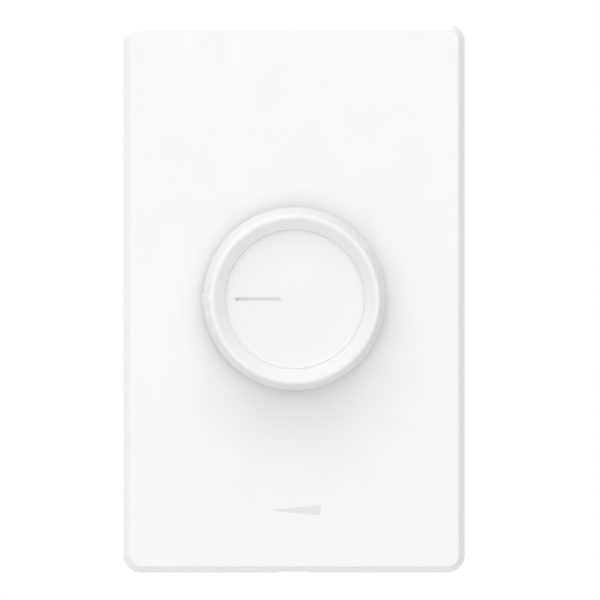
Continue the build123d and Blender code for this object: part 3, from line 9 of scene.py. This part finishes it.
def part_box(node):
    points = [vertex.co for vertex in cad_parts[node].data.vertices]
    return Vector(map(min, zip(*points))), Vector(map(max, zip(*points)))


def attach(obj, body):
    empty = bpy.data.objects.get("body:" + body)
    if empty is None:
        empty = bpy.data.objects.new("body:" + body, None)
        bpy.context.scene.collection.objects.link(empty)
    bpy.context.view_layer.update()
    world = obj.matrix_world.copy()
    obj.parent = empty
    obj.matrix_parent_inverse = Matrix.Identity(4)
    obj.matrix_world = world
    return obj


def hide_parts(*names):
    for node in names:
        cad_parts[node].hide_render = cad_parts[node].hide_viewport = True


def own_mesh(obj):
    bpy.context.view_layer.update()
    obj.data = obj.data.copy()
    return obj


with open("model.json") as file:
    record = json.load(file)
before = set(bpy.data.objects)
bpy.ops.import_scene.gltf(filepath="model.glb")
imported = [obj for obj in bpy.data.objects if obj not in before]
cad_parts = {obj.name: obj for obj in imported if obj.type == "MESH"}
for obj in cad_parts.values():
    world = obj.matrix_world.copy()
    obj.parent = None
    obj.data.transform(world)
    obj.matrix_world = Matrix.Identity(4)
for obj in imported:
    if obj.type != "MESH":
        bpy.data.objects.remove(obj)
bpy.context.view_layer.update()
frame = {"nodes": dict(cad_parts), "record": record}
nodes = frame["nodes"]
MM = 0.001


class Surface:
    """A material under construction: its tree, its Principled shader and object coordinates."""

    def __init__(self, name):
        self.material = bpy.data.materials.new(name)
        self.material.use_nodes = True
        self.tree = self.material.node_tree
        self.shader = self.tree.nodes["Principled BSDF"]
        self.coords = self.add("ShaderNodeTexCoord").outputs["Object"]

    def add(self, kind, **settings):
        node = self.tree.nodes.new(kind)
        for key, value in settings.items():
            setattr(node, key, value)
        return node

    def link(self, source, target):
        self.tree.links.new(source, target)

    def stretched(self, stretch):
        mapping = self.add("ShaderNodeMapping")
        mapping.inputs["Scale"].default_value = stretch
        self.link(self.coords, mapping.inputs["Vector"])
        return mapping.outputs["Vector"]

    def noise(self, scale, detail=3.0, rough=0.55, stretch=None):
        node = self.add("ShaderNodeTexNoise")
        node.inputs["Scale"].default_value = scale
        node.inputs["Detail"].default_value = detail
        node.inputs["Roughness"].default_value = rough
        self.link(self.stretched(stretch) if stretch else self.coords, node.inputs["Vector"])
        return node.outputs["Fac"]

    def cells(self, scale):
        node = self.add("ShaderNodeTexVoronoi", feature="SMOOTH_F1")
        node.inputs["Scale"].default_value = scale
        self.link(self.coords, node.inputs["Vector"])
        return node.outputs["Distance"]

    def axes(self):
        split = self.add("ShaderNodeSeparateXYZ")
        self.link(self.coords, split.inputs[0])
        return split.outputs

    def math(self, operation, a, b=None):
        node = self.add("ShaderNodeMath", operation=operation)
        for socket, value in zip(node.inputs, (a, b)):
            if isinstance(value, (int, float)):
                socket.default_value = value
            elif value is not None:
                self.link(value, socket)
        return node.outputs[0]

    def between(self, value, low, high):
        """One inside the two limits and zero outside."""
        return self.math("MULTIPLY", self.math("GREATER_THAN", value, low),
                         self.math("LESS_THAN", value, high))

    def spread(self, value, low, high, source=(0.3, 0.7)):
        node = self.add("ShaderNodeMapRange")
        node.inputs["From Min"].default_value = source[0]
        node.inputs["From Max"].default_value = source[1]
        node.inputs["To Min"].default_value = low
        node.inputs["To Max"].default_value = high
        self.link(value, node.inputs["Value"])
        return node.outputs[0]

    def ramp(self, value, stops, interpolation="LINEAR"):
        node = self.add("ShaderNodeValToRGB")
        node.color_ramp.interpolation = interpolation
        elements = node.color_ramp.elements
        while len(elements) < len(stops):
            elements.new(0.5)
        for element, (place, colour) in zip(elements, stops):
            element.position = place
            element.color = (*colour, 1.0)
        self.link(value, node.inputs["Fac"])
        return node.outputs["Color"]

    def blend(self, factor, a, b):
        node = self.add("ShaderNodeMix", data_type="RGBA")
        self.link(factor, node.inputs["Factor"])
        for socket, value in ((node.inputs[6], a), (node.inputs[7], b)):
            if isinstance(value, tuple):
                socket.default_value = (*value, 1.0)
            else:
                self.link(value, socket)
        return node.outputs[2]

    def colour(self, socket):
        self.link(socket, self.shader.inputs["Base Color"])

    def paint(self, mask, colour):
        """Lays a colour over what the base colour has so far, where the mask is up."""
        below = self.shader.inputs["Base Color"].links[0].from_socket
        self.colour(self.blend(mask, below, colour))

    def rough(self, socket):
        self.link(socket, self.shader.inputs["Roughness"])

    def bump(self, height, distance, edge=0.0):
        node = self.add("ShaderNodeBump")
        node.inputs["Distance"].default_value = distance
        self.link(height, node.inputs["Height"])
        if edge:
            rounding = self.add("ShaderNodeBevel", samples=4)
            rounding.inputs["Radius"].default_value = edge
            self.link(rounding.outputs[0], node.inputs["Normal"])
        self.link(node.outputs[0], self.shader.inputs["Normal"])

    def set(self, **values):
        for key, value in values.items():
            self.shader.inputs[key.replace("_", " ").title()].default_value = value


def shade(colour, factor):
    return tuple(min(1.0, c * factor) for c in colour)


def moulding(name, colour, rough, grain=2600.0, depth=0.01, cloud=0.015, edge=0.0):
    """Injection-moulded plastic: faint flow clouding, a fine spark-eroded grain and uneven gloss."""
    s = Surface(name)
    flow = s.noise(38.0, 2.0, 0.5, (1.0, 1.0, 0.45))
    speck = s.noise(grain, 2.0, 0.6)
    tone = s.ramp(flow, ((0.3, shade(colour, 1 - cloud)), (0.7, shade(colour, 1 + cloud))))
    s.colour(s.blend(s.spread(speck, 0.0, 0.25), tone, shade(colour, 1 - 2 * cloud)))
    s.rough(s.spread(s.noise(210.0, 4.0), rough - 0.04, rough + 0.06))
    s.bump(speck, depth * MM, edge)
    return s


def metal(name, colour, rough, stretch, tint=0.06, depth=0.006, edge=0.00012, stain=None):
    """Bare metal with a directional grain, fine scratches and slow changes of tone."""
    s = Surface(name)
    s.set(metallic=1.0)
    grain = s.noise(900.0, 3.0, 0.6, stretch)
    patch = s.noise(160.0, 4.0, 0.6)
    base = s.ramp(patch, ((0.3, shade(colour, 1 - tint)), (0.7, shade(colour, 1 + tint))))
    if stain:
        base = s.blend(s.spread(s.noise(420.0, 5.0, 0.7), 0.0, 0.55, (0.5, 0.78)), base, stain)
    s.colour(s.blend(s.spread(grain, 0.0, 0.3), base, shade(colour, 1 - 2 * tint)))
    s.rough(s.spread(grain, rough - 0.06, rough + 0.12))
    s.bump(grain, depth * MM, edge)
    return s


def coated(name, colour, rough, coat=0.4, peel=700.0, depth=0.02, dark=0.8):
    """Lacquer, epoxy or varnish with a slight orange peel under a clear gloss."""
    s = Surface(name)
    s.set(coat_weight=coat, coat_roughness=0.12)
    wave = s.noise(peel, 2.0, 0.5)
    s.colour(s.ramp(s.noise(240.0, 4.0, 0.6), ((0.3, shade(colour, dark)), (0.75, colour))))
    s.rough(s.spread(wave, rough - 0.05, rough + 0.08))
    s.bump(wave, depth * MM, 0.00012)
    return s


def tinned_beyond(s, depth, body_rough):
    """Adds tinned leads to a component: everything deeper in the wall than this, in metres."""
    lead = s.math("GREATER_THAN", s.axes()[1], depth)
    s.paint(lead, TIN)
    s.link(lead, s.shader.inputs["Metallic"])
    s.rough(s.spread(lead, body_rough, 0.32, (0.0, 1.0)))
    return s


# One material for each of the record's slots
made = {}
TIN = (0.62, 0.62, 0.6)
PRINT_STRENGTH = 0.5

# The plate's mark is a wedge from dim to bright, on the face alone
WEDGE_END, WEDGE_BELOW, WEDGE_HALF_HEIGHT = 5.7 * MM, 46.2 * MM, 1.15 * MM
FACE_DEPTH = -7.3 * MM
plate = moulding("plate_plastic", (0.840, 0.840, 0.838), 0.34, 5200.0, 0.0012, 0.003)
plate_x, plate_y, plate_z = plate.axes()
wedge_slope = WEDGE_HALF_HEIGHT / (2 * WEDGE_END)
wedge_edge = plate.math("MULTIPLY", plate.math("ADD", plate_x, WEDGE_END), wedge_slope)
wedge_height = plate.math("ABSOLUTE", plate.math("ADD", plate_z, WEDGE_BELOW))
wedge = plate.math("MULTIPLY", plate.math("LESS_THAN", wedge_height, wedge_edge),
                   plate.between(plate_x, -WEDGE_END, WEDGE_END))
face = plate.math("LESS_THAN", plate_y, FACE_DEPTH)
plate.paint(plate.math("MULTIPLY", plate.math("MULTIPLY", wedge, face), PRINT_STRENGTH), (0.60, 0.605, 0.62))
made["plate_plastic"] = plate

made["knob_plastic"] = moulding("knob_plastic", (0.835, 0.835, 0.833), 0.42, 5200.0, 0.0016, 0.003)

# The disc's pointer line is sunk in the solid and filled with grey
POINTER_START, POINTER_END, POINTER_HALF_WIDTH = -12.85 * MM, -3.05 * MM, 0.352 * MM
cap = moulding("cap_plastic", (0.835, 0.835, 0.833), 0.46, 5600.0, 0.002, 0.003)
cap_axes = cap.axes()
pointer = cap.math("MULTIPLY", cap.between(cap_axes[0], POINTER_START, POINTER_END),
                   cap.between(cap_axes[2], -POINTER_HALF_WIDTH, POINTER_HALF_WIDTH))
cap.paint(cap.math("MULTIPLY", pointer, PRINT_STRENGTH), (0.62, 0.625, 0.64))
made["cap_plastic"] = cap

made["adapter_plastic"] = moulding("adapter_plastic", (0.72, 0.72, 0.70), 0.5, 2000.0, 0.02, 0.02, 0.00015)
made["housing_plastic"] = moulding("housing_plastic", (0.045, 0.046, 0.05), 0.52, 2400.0, 0.03, 0.14, 0.0002)
made["yoke_metal"] = metal("yoke_metal", (0.75, 0.76, 0.77), 0.34, (1.0, 1.0, 0.06), 0.05, 0.008, 0.00018)
made["zinc_steel"] = metal("zinc_steel", (0.68, 0.69, 0.68), 0.3, (1.0, 0.3, 1.0), 0.08, 0.004, 0.0001,
                           (0.60, 0.58, 0.50))
made["spring_steel"] = metal("spring_steel", (0.42, 0.42, 0.44), 0.33, (1.0, 0.4, 1.0), 0.1, 0.003)
made["contact_brass"] = metal("contact_brass", (0.80, 0.60, 0.28), 0.27, (1.0, 0.25, 1.0), 0.07, 0.004,
                              0.0001, (0.52, 0.34, 0.16))
made["bushing_metal"] = metal("bushing_metal", (0.70, 0.62, 0.44), 0.26, (1.0, 6.0, 1.0), 0.05, 0.004)
made["shaft_metal"] = metal("shaft_metal", (0.76, 0.77, 0.78), 0.28, (1.0, 8.0, 1.0), 0.04, 0.004)
made["case_metal"] = metal("case_metal", (0.62, 0.63, 0.64), 0.32, (1.0, 0.2, 1.0), 0.07, 0.005)
made["green_steel"] = coated("green_steel", (0.03, 0.27, 0.09), 0.34, 0.5, 900.0, 0.015, 0.75)
made["epoxy"] = coated("epoxy", (0.035, 0.035, 0.037), 0.45, 0.1, 1500.0, 0.02, 0.7)
made["rotor_plastic"] = moulding("rotor_plastic", (0.05, 0.05, 0.05), 0.48, 2600.0, 0.02, 0.1)
made["switch_plastic"] = moulding("switch_plastic", (0.04, 0.04, 0.045), 0.5, 2600.0, 0.02, 0.1)
made["plunger_plastic"] = moulding("plunger_plastic", (0.74, 0.71, 0.60), 0.4, 2400.0, 0.01, 0.04)

fibre = Surface("fibre")
strands = fibre.noise(1500.0, 4.0, 0.7, (0.2, 1.0, 1.0))
fibre.colour(fibre.ramp(strands, ((0.3, (0.22, 0.06, 0.035)), (0.7, (0.40, 0.13, 0.07)))))
fibre.rough(fibre.spread(strands, 0.6, 0.85))
fibre.bump(strands, 0.03 * MM, 0.0001)
made["fibre"] = fibre

phenolic = Surface("phenolic")
mottle = phenolic.noise(900.0, 5.0, 0.7)
phenolic.colour(phenolic.ramp(mottle, ((0.3, (0.16, 0.07, 0.03)), (0.7, (0.32, 0.17, 0.08)))))
phenolic.rough(phenolic.spread(mottle, 0.4, 0.6))
phenolic.bump(mottle, 0.02 * MM)
made["phenolic"] = phenolic

WEAVE_RADIANS_PER_METRE = 9000.0
board = Surface("board")
board_axes = board.axes()
warp = board.math("SINE", board.math("MULTIPLY", board_axes[0], WEAVE_RADIANS_PER_METRE))
weft = board.math("SINE", board.math("MULTIPLY", board_axes[2], WEAVE_RADIANS_PER_METRE))
weave = board.math("MULTIPLY", warp, weft)
board.colour(board.ramp(board.spread(weave, 0.0, 1.0, (-1.0, 1.0)),
                        ((0.2, (0.40, 0.27, 0.10)), (0.8, (0.55, 0.40, 0.18)))))
board.rough(board.spread(board.noise(500.0), 0.35, 0.55))
board.bump(weave, 0.015 * MM)
made["board"] = board

pad = Surface("pad")
dust = pad.noise(2500.0, 3.0, 0.7)
pad.colour(pad.ramp(dust, ((0.3, (0.38, 0.39, 0.43)), (0.7, (0.50, 0.51, 0.55)))))
pad.rough(pad.spread(dust, 0.6, 0.8))
pad.bump(dust, 0.02 * MM)
made["pad"] = pad

ferrite = Surface("ferrite")
sinter = ferrite.cells(2200.0)
ferrite.colour(ferrite.ramp(sinter, ((0.1, (0.06, 0.06, 0.065)), (0.7, (0.15, 0.15, 0.16)))))
ferrite.rough(ferrite.spread(sinter, 0.5, 0.75, (0.0, 1.0)))
ferrite.bump(sinter, 0.03 * MM, 0.0001)
made["ferrite"] = ferrite

# The winding's turns lie round the ferrite ring; their colour is painted shade, dark in the grooves between
# turns, and a painted highlight, lighter on their crests
WINDING_TURNS = 46.0
copper = Surface("copper")
core_low, core_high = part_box("choke_core")
core_middle = (core_low + core_high) / 2
copper_axes = copper.axes()
around = copper.math("ARCTAN2", copper.math("SUBTRACT", copper_axes[2], core_middle.z),
                     copper.math("SUBTRACT", copper_axes[0], core_middle.x))
turns_and_painted_shade = copper.math("SINE", copper.math("MULTIPLY", around, WINDING_TURNS))
# Painted shade in the grooves between the turns and a painted highlight on their crests
copper.colour(copper.ramp(copper.spread(turns_and_painted_shade, 0.0, 1.0, (-1.0, 1.0)),
                          ((0.05, (0.10, 0.03, 0.01)), (0.5, (0.52, 0.20, 0.07)), (1.0, (0.74, 0.34, 0.15)))))
copper.rough(copper.spread(copper.noise(600.0), 0.2, 0.36))
copper.bump(turns_and_painted_shade, 0.35 * MM)
copper.set(metallic=0.85, coat_weight=0.5)
made["copper"] = copper

board_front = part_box("circuit_board")[0].y
film = coated("film_case", (0.72, 0.50, 0.05), 0.3, 0.5)
made["film_case"] = tinned_beyond(film, board_front, 0.3)
timing = coated("timing_case", (0.36, 0.06, 0.035), 0.28, 0.5)
made["timing_case"] = tinned_beyond(timing, board_front, 0.28)

DIODE_HALF_LENGTH, BAND_MIDDLE, BAND_HALF_WIDTH = 2.0 * MM, 1.1 * MM, 0.35 * MM
glass = Surface("diode_glass")
glass_z = glass.axes()[2]
beyond_glass = glass.math("GREATER_THAN", glass.math("ABSOLUTE", glass_z), DIODE_HALF_LENGTH)
band = glass.math("LESS_THAN", glass.math("ABSOLUTE", glass.math("SUBTRACT", glass_z, BAND_MIDDLE)),
                  BAND_HALF_WIDTH)
tone = glass.ramp(glass.noise(700.0), ((0.3, (0.55, 0.20, 0.12)), (0.7, (0.68, 0.30, 0.18))))
glass.colour(glass.blend(beyond_glass, glass.blend(band, tone, (0.03, 0.03, 0.03)), TIN))
glass.rough(glass.spread(glass.noise(900.0), 0.05, 0.16))
glass.set(coat_weight=0.8)
made["diode_glass"] = glass

# Brown, black, orange and gold bands on a tan body between tinned leads
RESISTOR_REACH = 4.6 * MM
TAN = (0.58, 0.42, 0.24)
resistor = Surface("resistor_body")
along = resistor.spread(resistor.axes()[2], 0.0, 1.0, (-RESISTOR_REACH, RESISTOR_REACH))
stripes = resistor.ramp(
    along,
    (
        (0.0, TIN), (0.152, TAN), (0.24, (0.30, 0.12, 0.03)), (0.31, TAN),
        (0.38, (0.02, 0.02, 0.02)), (0.45, TAN), (0.52, (0.75, 0.30, 0.02)), (0.59, TAN),
        (0.72, (0.60, 0.42, 0.10)), (0.78, TAN), (0.848, TIN),
    ),
    "CONSTANT",
)
resistor.colour(resistor.blend(resistor.spread(resistor.noise(800.0), 0.0, 0.18), stripes, (0.2, 0.14, 0.08)))
resistor.rough(resistor.spread(resistor.noise(500.0), 0.3, 0.45))
resistor.bump(resistor.noise(900.0), 0.02 * MM)
made["resistor_body"] = resistor

for row in frame["record"]["subparts"]:
    finish = made[row["material_slot"]].material
    for place in nodes[row["node"]].material_slots:
        place.material = finish


SCREW_SIDES = 40
ROWS_PER_TURN = 8
# How far each cutter starts in front of the head, and how deep the slot goes beside the cross
CROSS_LEAD, SLOT_LEAD = 0.3 * MM, 0.5 * MM
SLOT_SHARE = 0.62
# Millimetres from crest to crest, for 32 threads to the inch
PITCH_32 = 0.794


def placed(origin, along):
    """Matrix whose local Z runs along this direction from this point, both in the part's frame."""
    turn = Vector(along).to_track_quat("Z", "Y").to_matrix().to_4x4()
    return Matrix.Translation(Vector(origin)) @ turn


def sharpen(mesh, degrees=32.0):
    """Smooth faces with hard edges where two faces meet at more than this."""
    work = bmesh.new()
    work.from_mesh(mesh)
    bmesh.ops.recalc_face_normals(work, faces=work.faces)
    for face in work.faces:
        face.smooth = True
    for edge in work.edges:
        edge.smooth = len(edge.link_faces) == 2 and edge.calc_face_angle(0.0) < math.radians(degrees)
    work.to_mesh(mesh)
    work.free()


def object_of(name, vertices, faces, material):
    mesh = bpy.data.meshes.new(name)
    mesh.from_pydata(vertices, [], faces)
    mesh.materials.append(material)
    thing = bpy.data.objects.new(name, mesh)
    bpy.context.scene.collection.objects.link(thing)
    return thing


def lathe(rings, segments):
    """Closed surface from rings, each a height with a radius or a function that gives it for an angle."""
    vertices, faces = [], []
    for height, radius in rings:
        for i in range(segments):
            turn = 2 * math.pi * i / segments
            r = radius(turn) if callable(radius) else radius
            vertices.append((r * math.cos(turn), r * math.sin(turn), height))
    for row in range(len(rings) - 1):
        for i in range(segments):
            a, b = row * segments + i, row * segments + (i + 1) % segments
            faces.append((a, b, b + segments, a + segments))
    faces.append(tuple(reversed(range(segments))))
    faces.append(tuple(range((len(rings) - 1) * segments, len(rings) * segments)))
    return vertices, faces


def thread_rings(start, end, major, depth, pitch):
    """Rings of a screw thread from one height to another, with a lead-in at the far end."""
    rows = int((end - start) / pitch * ROWS_PER_TURN)
    rings = []
    for row in range(rows + 1):
        height = start + (end - start) * row / rows
        # The thread runs in below the head and out at the tip
        fade = min(1.0, (height - start) / pitch * 0.9 + 0.15, (end - height) / pitch * 0.7)

        def radius(turn, height=height, fade=fade):
            phase = (height / pitch - turn / (2 * math.pi)) % 1.0
            tooth = min(1.0, max(0.0, (abs(2 * phase - 1) - 0.1) / 0.75))
            taper = max(0.0, 1 - (end - height) / (1.4 * pitch))
            return major - depth * (1 - tooth * fade) - depth * taper

        rings.append((height, radius))
    return rings


def cross_cutter(across, depth, width):
    """Two crossed and tapered bars, which start in front of the head so that the recess is open."""
    corners = ((-1, -1), (1, -1), (1, 1), (-1, 1))
    work = bmesh.new()
    for turn in (0.0, math.pi / 2):
        spin = Matrix.Rotation(turn, 4, "Z")
        front = [work.verts.new(spin @ Vector((x * across / 2, y * width / 2, -CROSS_LEAD)))
                 for x, y in corners]
        foot = [work.verts.new(spin @ Vector((x * across / 6, y * width / 3, depth))) for x, y in corners]
        work.faces.new(front)
        work.faces.new(foot)
        for i in range(4):
            work.faces.new((front[i], front[(i + 1) % 4], foot[(i + 1) % 4], foot[i]))
    bmesh.ops.recalc_face_normals(work, faces=work.faces)
    mesh = bpy.data.meshes.new("cutter")
    work.to_mesh(mesh)
    work.free()
    return mesh


def box_mesh(low, high):
    """A box between two corners."""
    work = bmesh.new()
    bmesh.ops.create_cube(work, size=1.0)
    size = Vector(high) - Vector(low)
    for vertex in work.verts:
        vertex.co = Vector(low) + Vector(((vertex.co.x + 0.5) * size.x, (vertex.co.y + 0.5) * size.y,
                                          (vertex.co.z + 0.5) * size.z))
    mesh = bpy.data.meshes.new("cutter")
    work.to_mesh(mesh)
    work.free()
    return mesh


def carve(target, *cutters):
    """Cuts each closed mesh from the object, in its own coordinates, and leaves a plain mesh."""
    helpers = []
    for mesh in cutters:
        helper = bpy.data.objects.new("cutter", mesh)
        bpy.context.scene.collection.objects.link(helper)
        modifier = target.modifiers.new("cut", "BOOLEAN")
        modifier.operation = "DIFFERENCE"
        modifier.solver = "MANIFOLD"
        modifier.object = helper
        helpers.append(helper)
    depsgraph = bpy.context.evaluated_depsgraph_get()
    result = bpy.data.meshes.new_from_object(target.evaluated_get(depsgraph))
    target.modifiers.clear()
    target.data = result
    for helper in helpers:
        bpy.data.objects.remove(helper)


def screw_mesh(name, head, neck, thread, recess, material):
    """A screw along local Z, from its head's top at zero: head profile, neck, thread and drive.

    All sizes are in millimetres. The thread is (start, end, major radius, depth, pitch) and the drive is
    (width over the cross, depth, width of its bars, width of the straight slot or zero).
    """
    rings = [(0.0, 0.05 * MM)]
    rings += [(z * MM, r * MM) for z, r in head]
    rings += [(z * MM, r * MM) for z, r in neck]
    start, end, major, depth, pitch = (value * MM for value in thread)
    rings += thread_rings(start, end, major, depth, pitch)
    vertices, faces = lathe(rings, SCREW_SIDES)
    screw = object_of(name, vertices, faces, material)
    across, deep, width, slot = (value * MM for value in recess)
    cutters = [cross_cutter(across, deep, width)]
    if slot:
        reach = head[-1][1] * MM * 1.3
        cutters.append(box_mesh((-reach, -slot / 2, -SLOT_LEAD), (reach, slot / 2, SLOT_SHARE * deep)))
    carve(screw, *cutters)
    sharpen(screw.data)
    return screw


def joined(name, screw, matrices, body, node):
    """Copies of one screw in one piece, which takes the place of a CAD node."""
    work = bmesh.new()
    for matrix in matrices:
        first = len(work.verts)
        work.from_mesh(screw.data)
        work.verts.ensure_lookup_table()
        bmesh.ops.transform(work, matrix=matrix, verts=work.verts[first:])
    mesh = bpy.data.meshes.new(name)
    work.to_mesh(mesh)
    work.free()
    mesh.materials.append(screw.data.materials[0])
    piece = bpy.data.objects.new(name, mesh)
    bpy.context.scene.collection.objects.link(piece)
    bpy.data.objects.remove(screw)
    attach(piece, body)
    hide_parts(node)


# Screws with threads and drives
zinc = made["zinc_steel"].material
brass = made["contact_brass"].material
green = made["green_steel"].material

low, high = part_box("box_screws")
box_head = 3.45
box_z = (high.z - low.z) / 2 - box_head * MM
box_screw = screw_mesh(
    "box_screw",
    ((0.0, 1.9), (0.25, 2.6), (0.7, 3.15), (1.2, 3.42), (1.95, box_head), (2.0, 3.4)),
    ((2.0, 1.45), (4.2, 1.45)),
    (4.25, 20.5, 1.75, 0.42, PITCH_32),
    (4.4, 1.5, 0.95, 0.95),
    zinc,
)
joined("box_screws_threaded", box_screw,
       [placed((0, low.y, box_z), (0, 1, 0)), placed((0, low.y, -box_z), (0, 1, 0))],
       "root", "box_screws")

low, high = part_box("adapter_screws")
cover_head = 2.9
cover_z = (high.z - low.z) / 2 - cover_head * MM
cover_screw = screw_mesh(
    "cover_screw",
    ((0.0, 2.85), (0.08, 2.88), (1.0, 1.95)),
    ((1.15, 1.6),),
    (1.2, 9.5, 1.75, 0.42, PITCH_32),
    (3.6, 1.1, 0.8, 0.0),
    zinc,
)
joined("adapter_screws_threaded", cover_screw,
       [placed((0, low.y, cover_z), (0, 1, 0)), placed((0, low.y, -cover_z), (0, 1, 0))],
       "root", "adapter_screws")

low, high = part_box("ground_screw")
middle = (low + high) / 2
ground = screw_mesh(
    "ground_screw_part",
    ((0.0, 2.3), (0.2, 2.95), (0.6, 3.4), (1.1, 3.58), (2.1, 3.6), (2.2, 3.5)),
    ((2.2, 1.9), (2.4, 1.9)),
    (2.45, 8.2, 2.05, 0.4, PITCH_32),
    (4.6, 1.5, 1.0, 1.0),
    green,
)
joined("ground_screw_threaded", ground, [placed((low.x, middle.y, middle.z), (1, 0, 0))],
       "root", "ground_screw")

low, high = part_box("terminal_screws")
middle_y = (low.y + high.y) / 2
terminal_head = 3.3
terminal_z = (high.z - low.z) / 2 - terminal_head * MM
terminal = screw_mesh(
    "terminal_screw",
    ((0.0, 2.5), (0.2, 2.95), (0.5, 3.2), (0.85, terminal_head), (1.2, terminal_head)),
    ((1.22, 2.5), (2.0, 2.5), (2.02, 1.9)),
    (2.1, 10.0, 2.05, 0.4, PITCH_32),
    (4.2, 1.3, 0.95, 0.9),
    brass,
)
joined(
    "terminal_screws_threaded", terminal,
    [placed((high.x, middle_y, terminal_z), (-1, 0, 0)), placed((high.x, middle_y, -terminal_z), (-1, 0, 0)),
     placed((low.x, middle_y, terminal_z), (1, 0, 0))],
    "root", "terminal_screws",
)

# The disc's seat closes the gap round it just under its rim
SEAT_STEPS = 192
SEAT_INNER, SEAT_OUTER, SEAT_THICK = 15.10 * MM, 15.30 * MM, 0.2 * MM
seat_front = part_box("knob_cap")[0].y + 0.12 * MM
seat_back = seat_front + SEAT_THICK
profile = ((SEAT_INNER, seat_front), (SEAT_OUTER, seat_front),
           (SEAT_OUTER, seat_back), (SEAT_INNER, seat_back))
vertices, faces = [], []
for step in range(SEAT_STEPS):
    turn = 2 * math.pi * step / SEAT_STEPS
    vertices += [(radius * math.cos(turn), depth, radius * math.sin(turn)) for radius, depth in profile]
    first, following = 4 * step, 4 * ((step + 1) % SEAT_STEPS)
    for corner in range(4):
        after = (corner + 1) % 4
        faces.append((first + corner, first + after, following + after, following + corner))
seat = object_of("cap_seat", vertices, faces, made["cap_plastic"].material)
sharpen(seat.data)
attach(seat, "knob")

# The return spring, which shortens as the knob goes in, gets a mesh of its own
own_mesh(nodes["plunger_spring"])

# Floor: its back edge stays just below the main picture
paper = Surface("floor_paper")
paper.colour(paper.ramp(paper.noise(3.0, 2.0), ((0.3, (0.72, 0.72, 0.71)), (0.7, (0.75, 0.75, 0.74)))))
paper.rough(paper.spread(paper.noise(400.0), 0.8, 0.9))
FLOOR_SIDE, FLOOR_FRONT, FLOOR_BACK, FLOOR_LEVEL = 8.0, -2.6, 5.4, -0.25
floor = object_of(
    "floor",
    [(x, y, FLOOR_LEVEL) for x, y in ((-FLOOR_SIDE, FLOOR_FRONT), (FLOOR_SIDE, FLOOR_FRONT),
                                      (FLOOR_SIDE, FLOOR_BACK), (-FLOOR_SIDE, FLOOR_BACK))],
    [(0, 1, 2, 3)],
    paper.material,
)

# Light: a soft room with brighter parts, and one lamp behind
world = bpy.data.worlds.new("studio")
bpy.context.scene.world = world
world.use_nodes = True
sky = world.node_tree
direction = sky.nodes.new("ShaderNodeTexCoord").outputs["Generated"]


def lobe(axis, start, full, colour):
    """Light from round one direction, from nothing at the first cosine to this colour at the second."""
    facing = sky.nodes.new("ShaderNodeVectorMath")
    facing.operation = "DOT_PRODUCT"
    facing.inputs[1].default_value = Vector(axis).normalized()
    sky.links.new(direction, facing.inputs[0])
    reach = sky.nodes.new("ShaderNodeMapRange")
    reach.interpolation_type = "SMOOTHSTEP"
    reach.inputs["From Min"].default_value = start
    reach.inputs["From Max"].default_value = full
    sky.links.new(facing.outputs["Value"], reach.inputs["Value"])
    glow = sky.nodes.new("ShaderNodeVectorMath")
    glow.operation = "SCALE"
    glow.inputs[0].default_value = colour
    sky.links.new(reach.outputs[0], glow.inputs["Scale"])
    return glow.outputs["Vector"]


def add_lobes(*lobes):
    """Makes the sum of these lights the world's colour."""
    total = lobes[0]
    for light in lobes[1:]:
        both = sky.nodes.new("ShaderNodeVectorMath")
        sky.links.new(total, both.inputs[0])
        sky.links.new(light, both.inputs[1])
        total = both.outputs["Vector"]
    sky.links.new(total, sky.nodes["Background"].inputs["Color"])


# The whole room, the wall behind, the ceiling, a window above the camera, the left and the key light
add_lobes(
    lobe((0, 1, 0), -1.5, -1.2, (0.40, 0.40, 0.40)),
    lobe((-0.45, 1, 0), -0.05, 0.55, (0.61, 0.605, 0.60)),
    lobe((0, -0.3, 1), 0.5, 0.95, (0.725, 0.740, 0.755)),
    lobe((0, -0.8, 0.6), 0.75, 0.97, (0.930, 0.948, 0.965)),
    lobe((-1, -0.25, 0.1), 0.4, 0.95, (0.330, 0.337, 0.345)),
    lobe((0, -0.95, -0.06), 0.97, 0.998, (5.17, 5.17, 5.17)),
)


def softbox(name, place, size, power, colour):
    light = bpy.data.lights.new(name, "AREA")
    light.shape = "RECTANGLE"
    light.size, light.size_y = size
    light.energy = power
    light.color = colour
    lamp = bpy.data.objects.new(name, light)
    lamp.location = place
    lamp.rotation_mode = "QUATERNION"
    lamp.rotation_quaternion = (-Vector(place)).to_track_quat("-Z", "Y")
    bpy.context.scene.collection.objects.link(lamp)


softbox("back_light", (-0.2, 1.1, 0.7), (0.8, 0.6), 2.0, (1.0, 0.99, 0.98))

# Camera: a long lens nearly square to the plate, aimed a few pixels beside its middle
PICTURE_WIDTH = 600.0
PIXELS_PER_METRE = 4575.0
AIM_RIGHT, AIM_UP = 5.85, -1.9
DISTANCE = 4.0
SENSOR = 36.0
side_angle, height_angle = math.radians(-0.46), math.radians(0.78)
look_at = Vector((AIM_RIGHT / PIXELS_PER_METRE, 0.0, AIM_UP / PIXELS_PER_METRE))
away = Vector((math.sin(side_angle) * math.cos(height_angle), -math.cos(side_angle) * math.cos(height_angle),
               math.sin(height_angle)))
camera_data = bpy.data.cameras.new("camera")
camera_data.sensor_width = SENSOR
camera_data.lens = SENSOR * DISTANCE / (PICTURE_WIDTH / PIXELS_PER_METRE)
camera_data.clip_start = 0.05
camera_data.clip_end = 20.0
camera = bpy.data.objects.new("camera", camera_data)
camera.location = look_at + away * DISTANCE
camera.rotation_mode = "QUATERNION"
camera.rotation_quaternion = (-away).to_track_quat("-Z", "Y")
bpy.context.scene.collection.objects.link(camera)
bpy.context.scene.camera = camera
bpy.context.scene.view_settings.view_transform = "Standard"
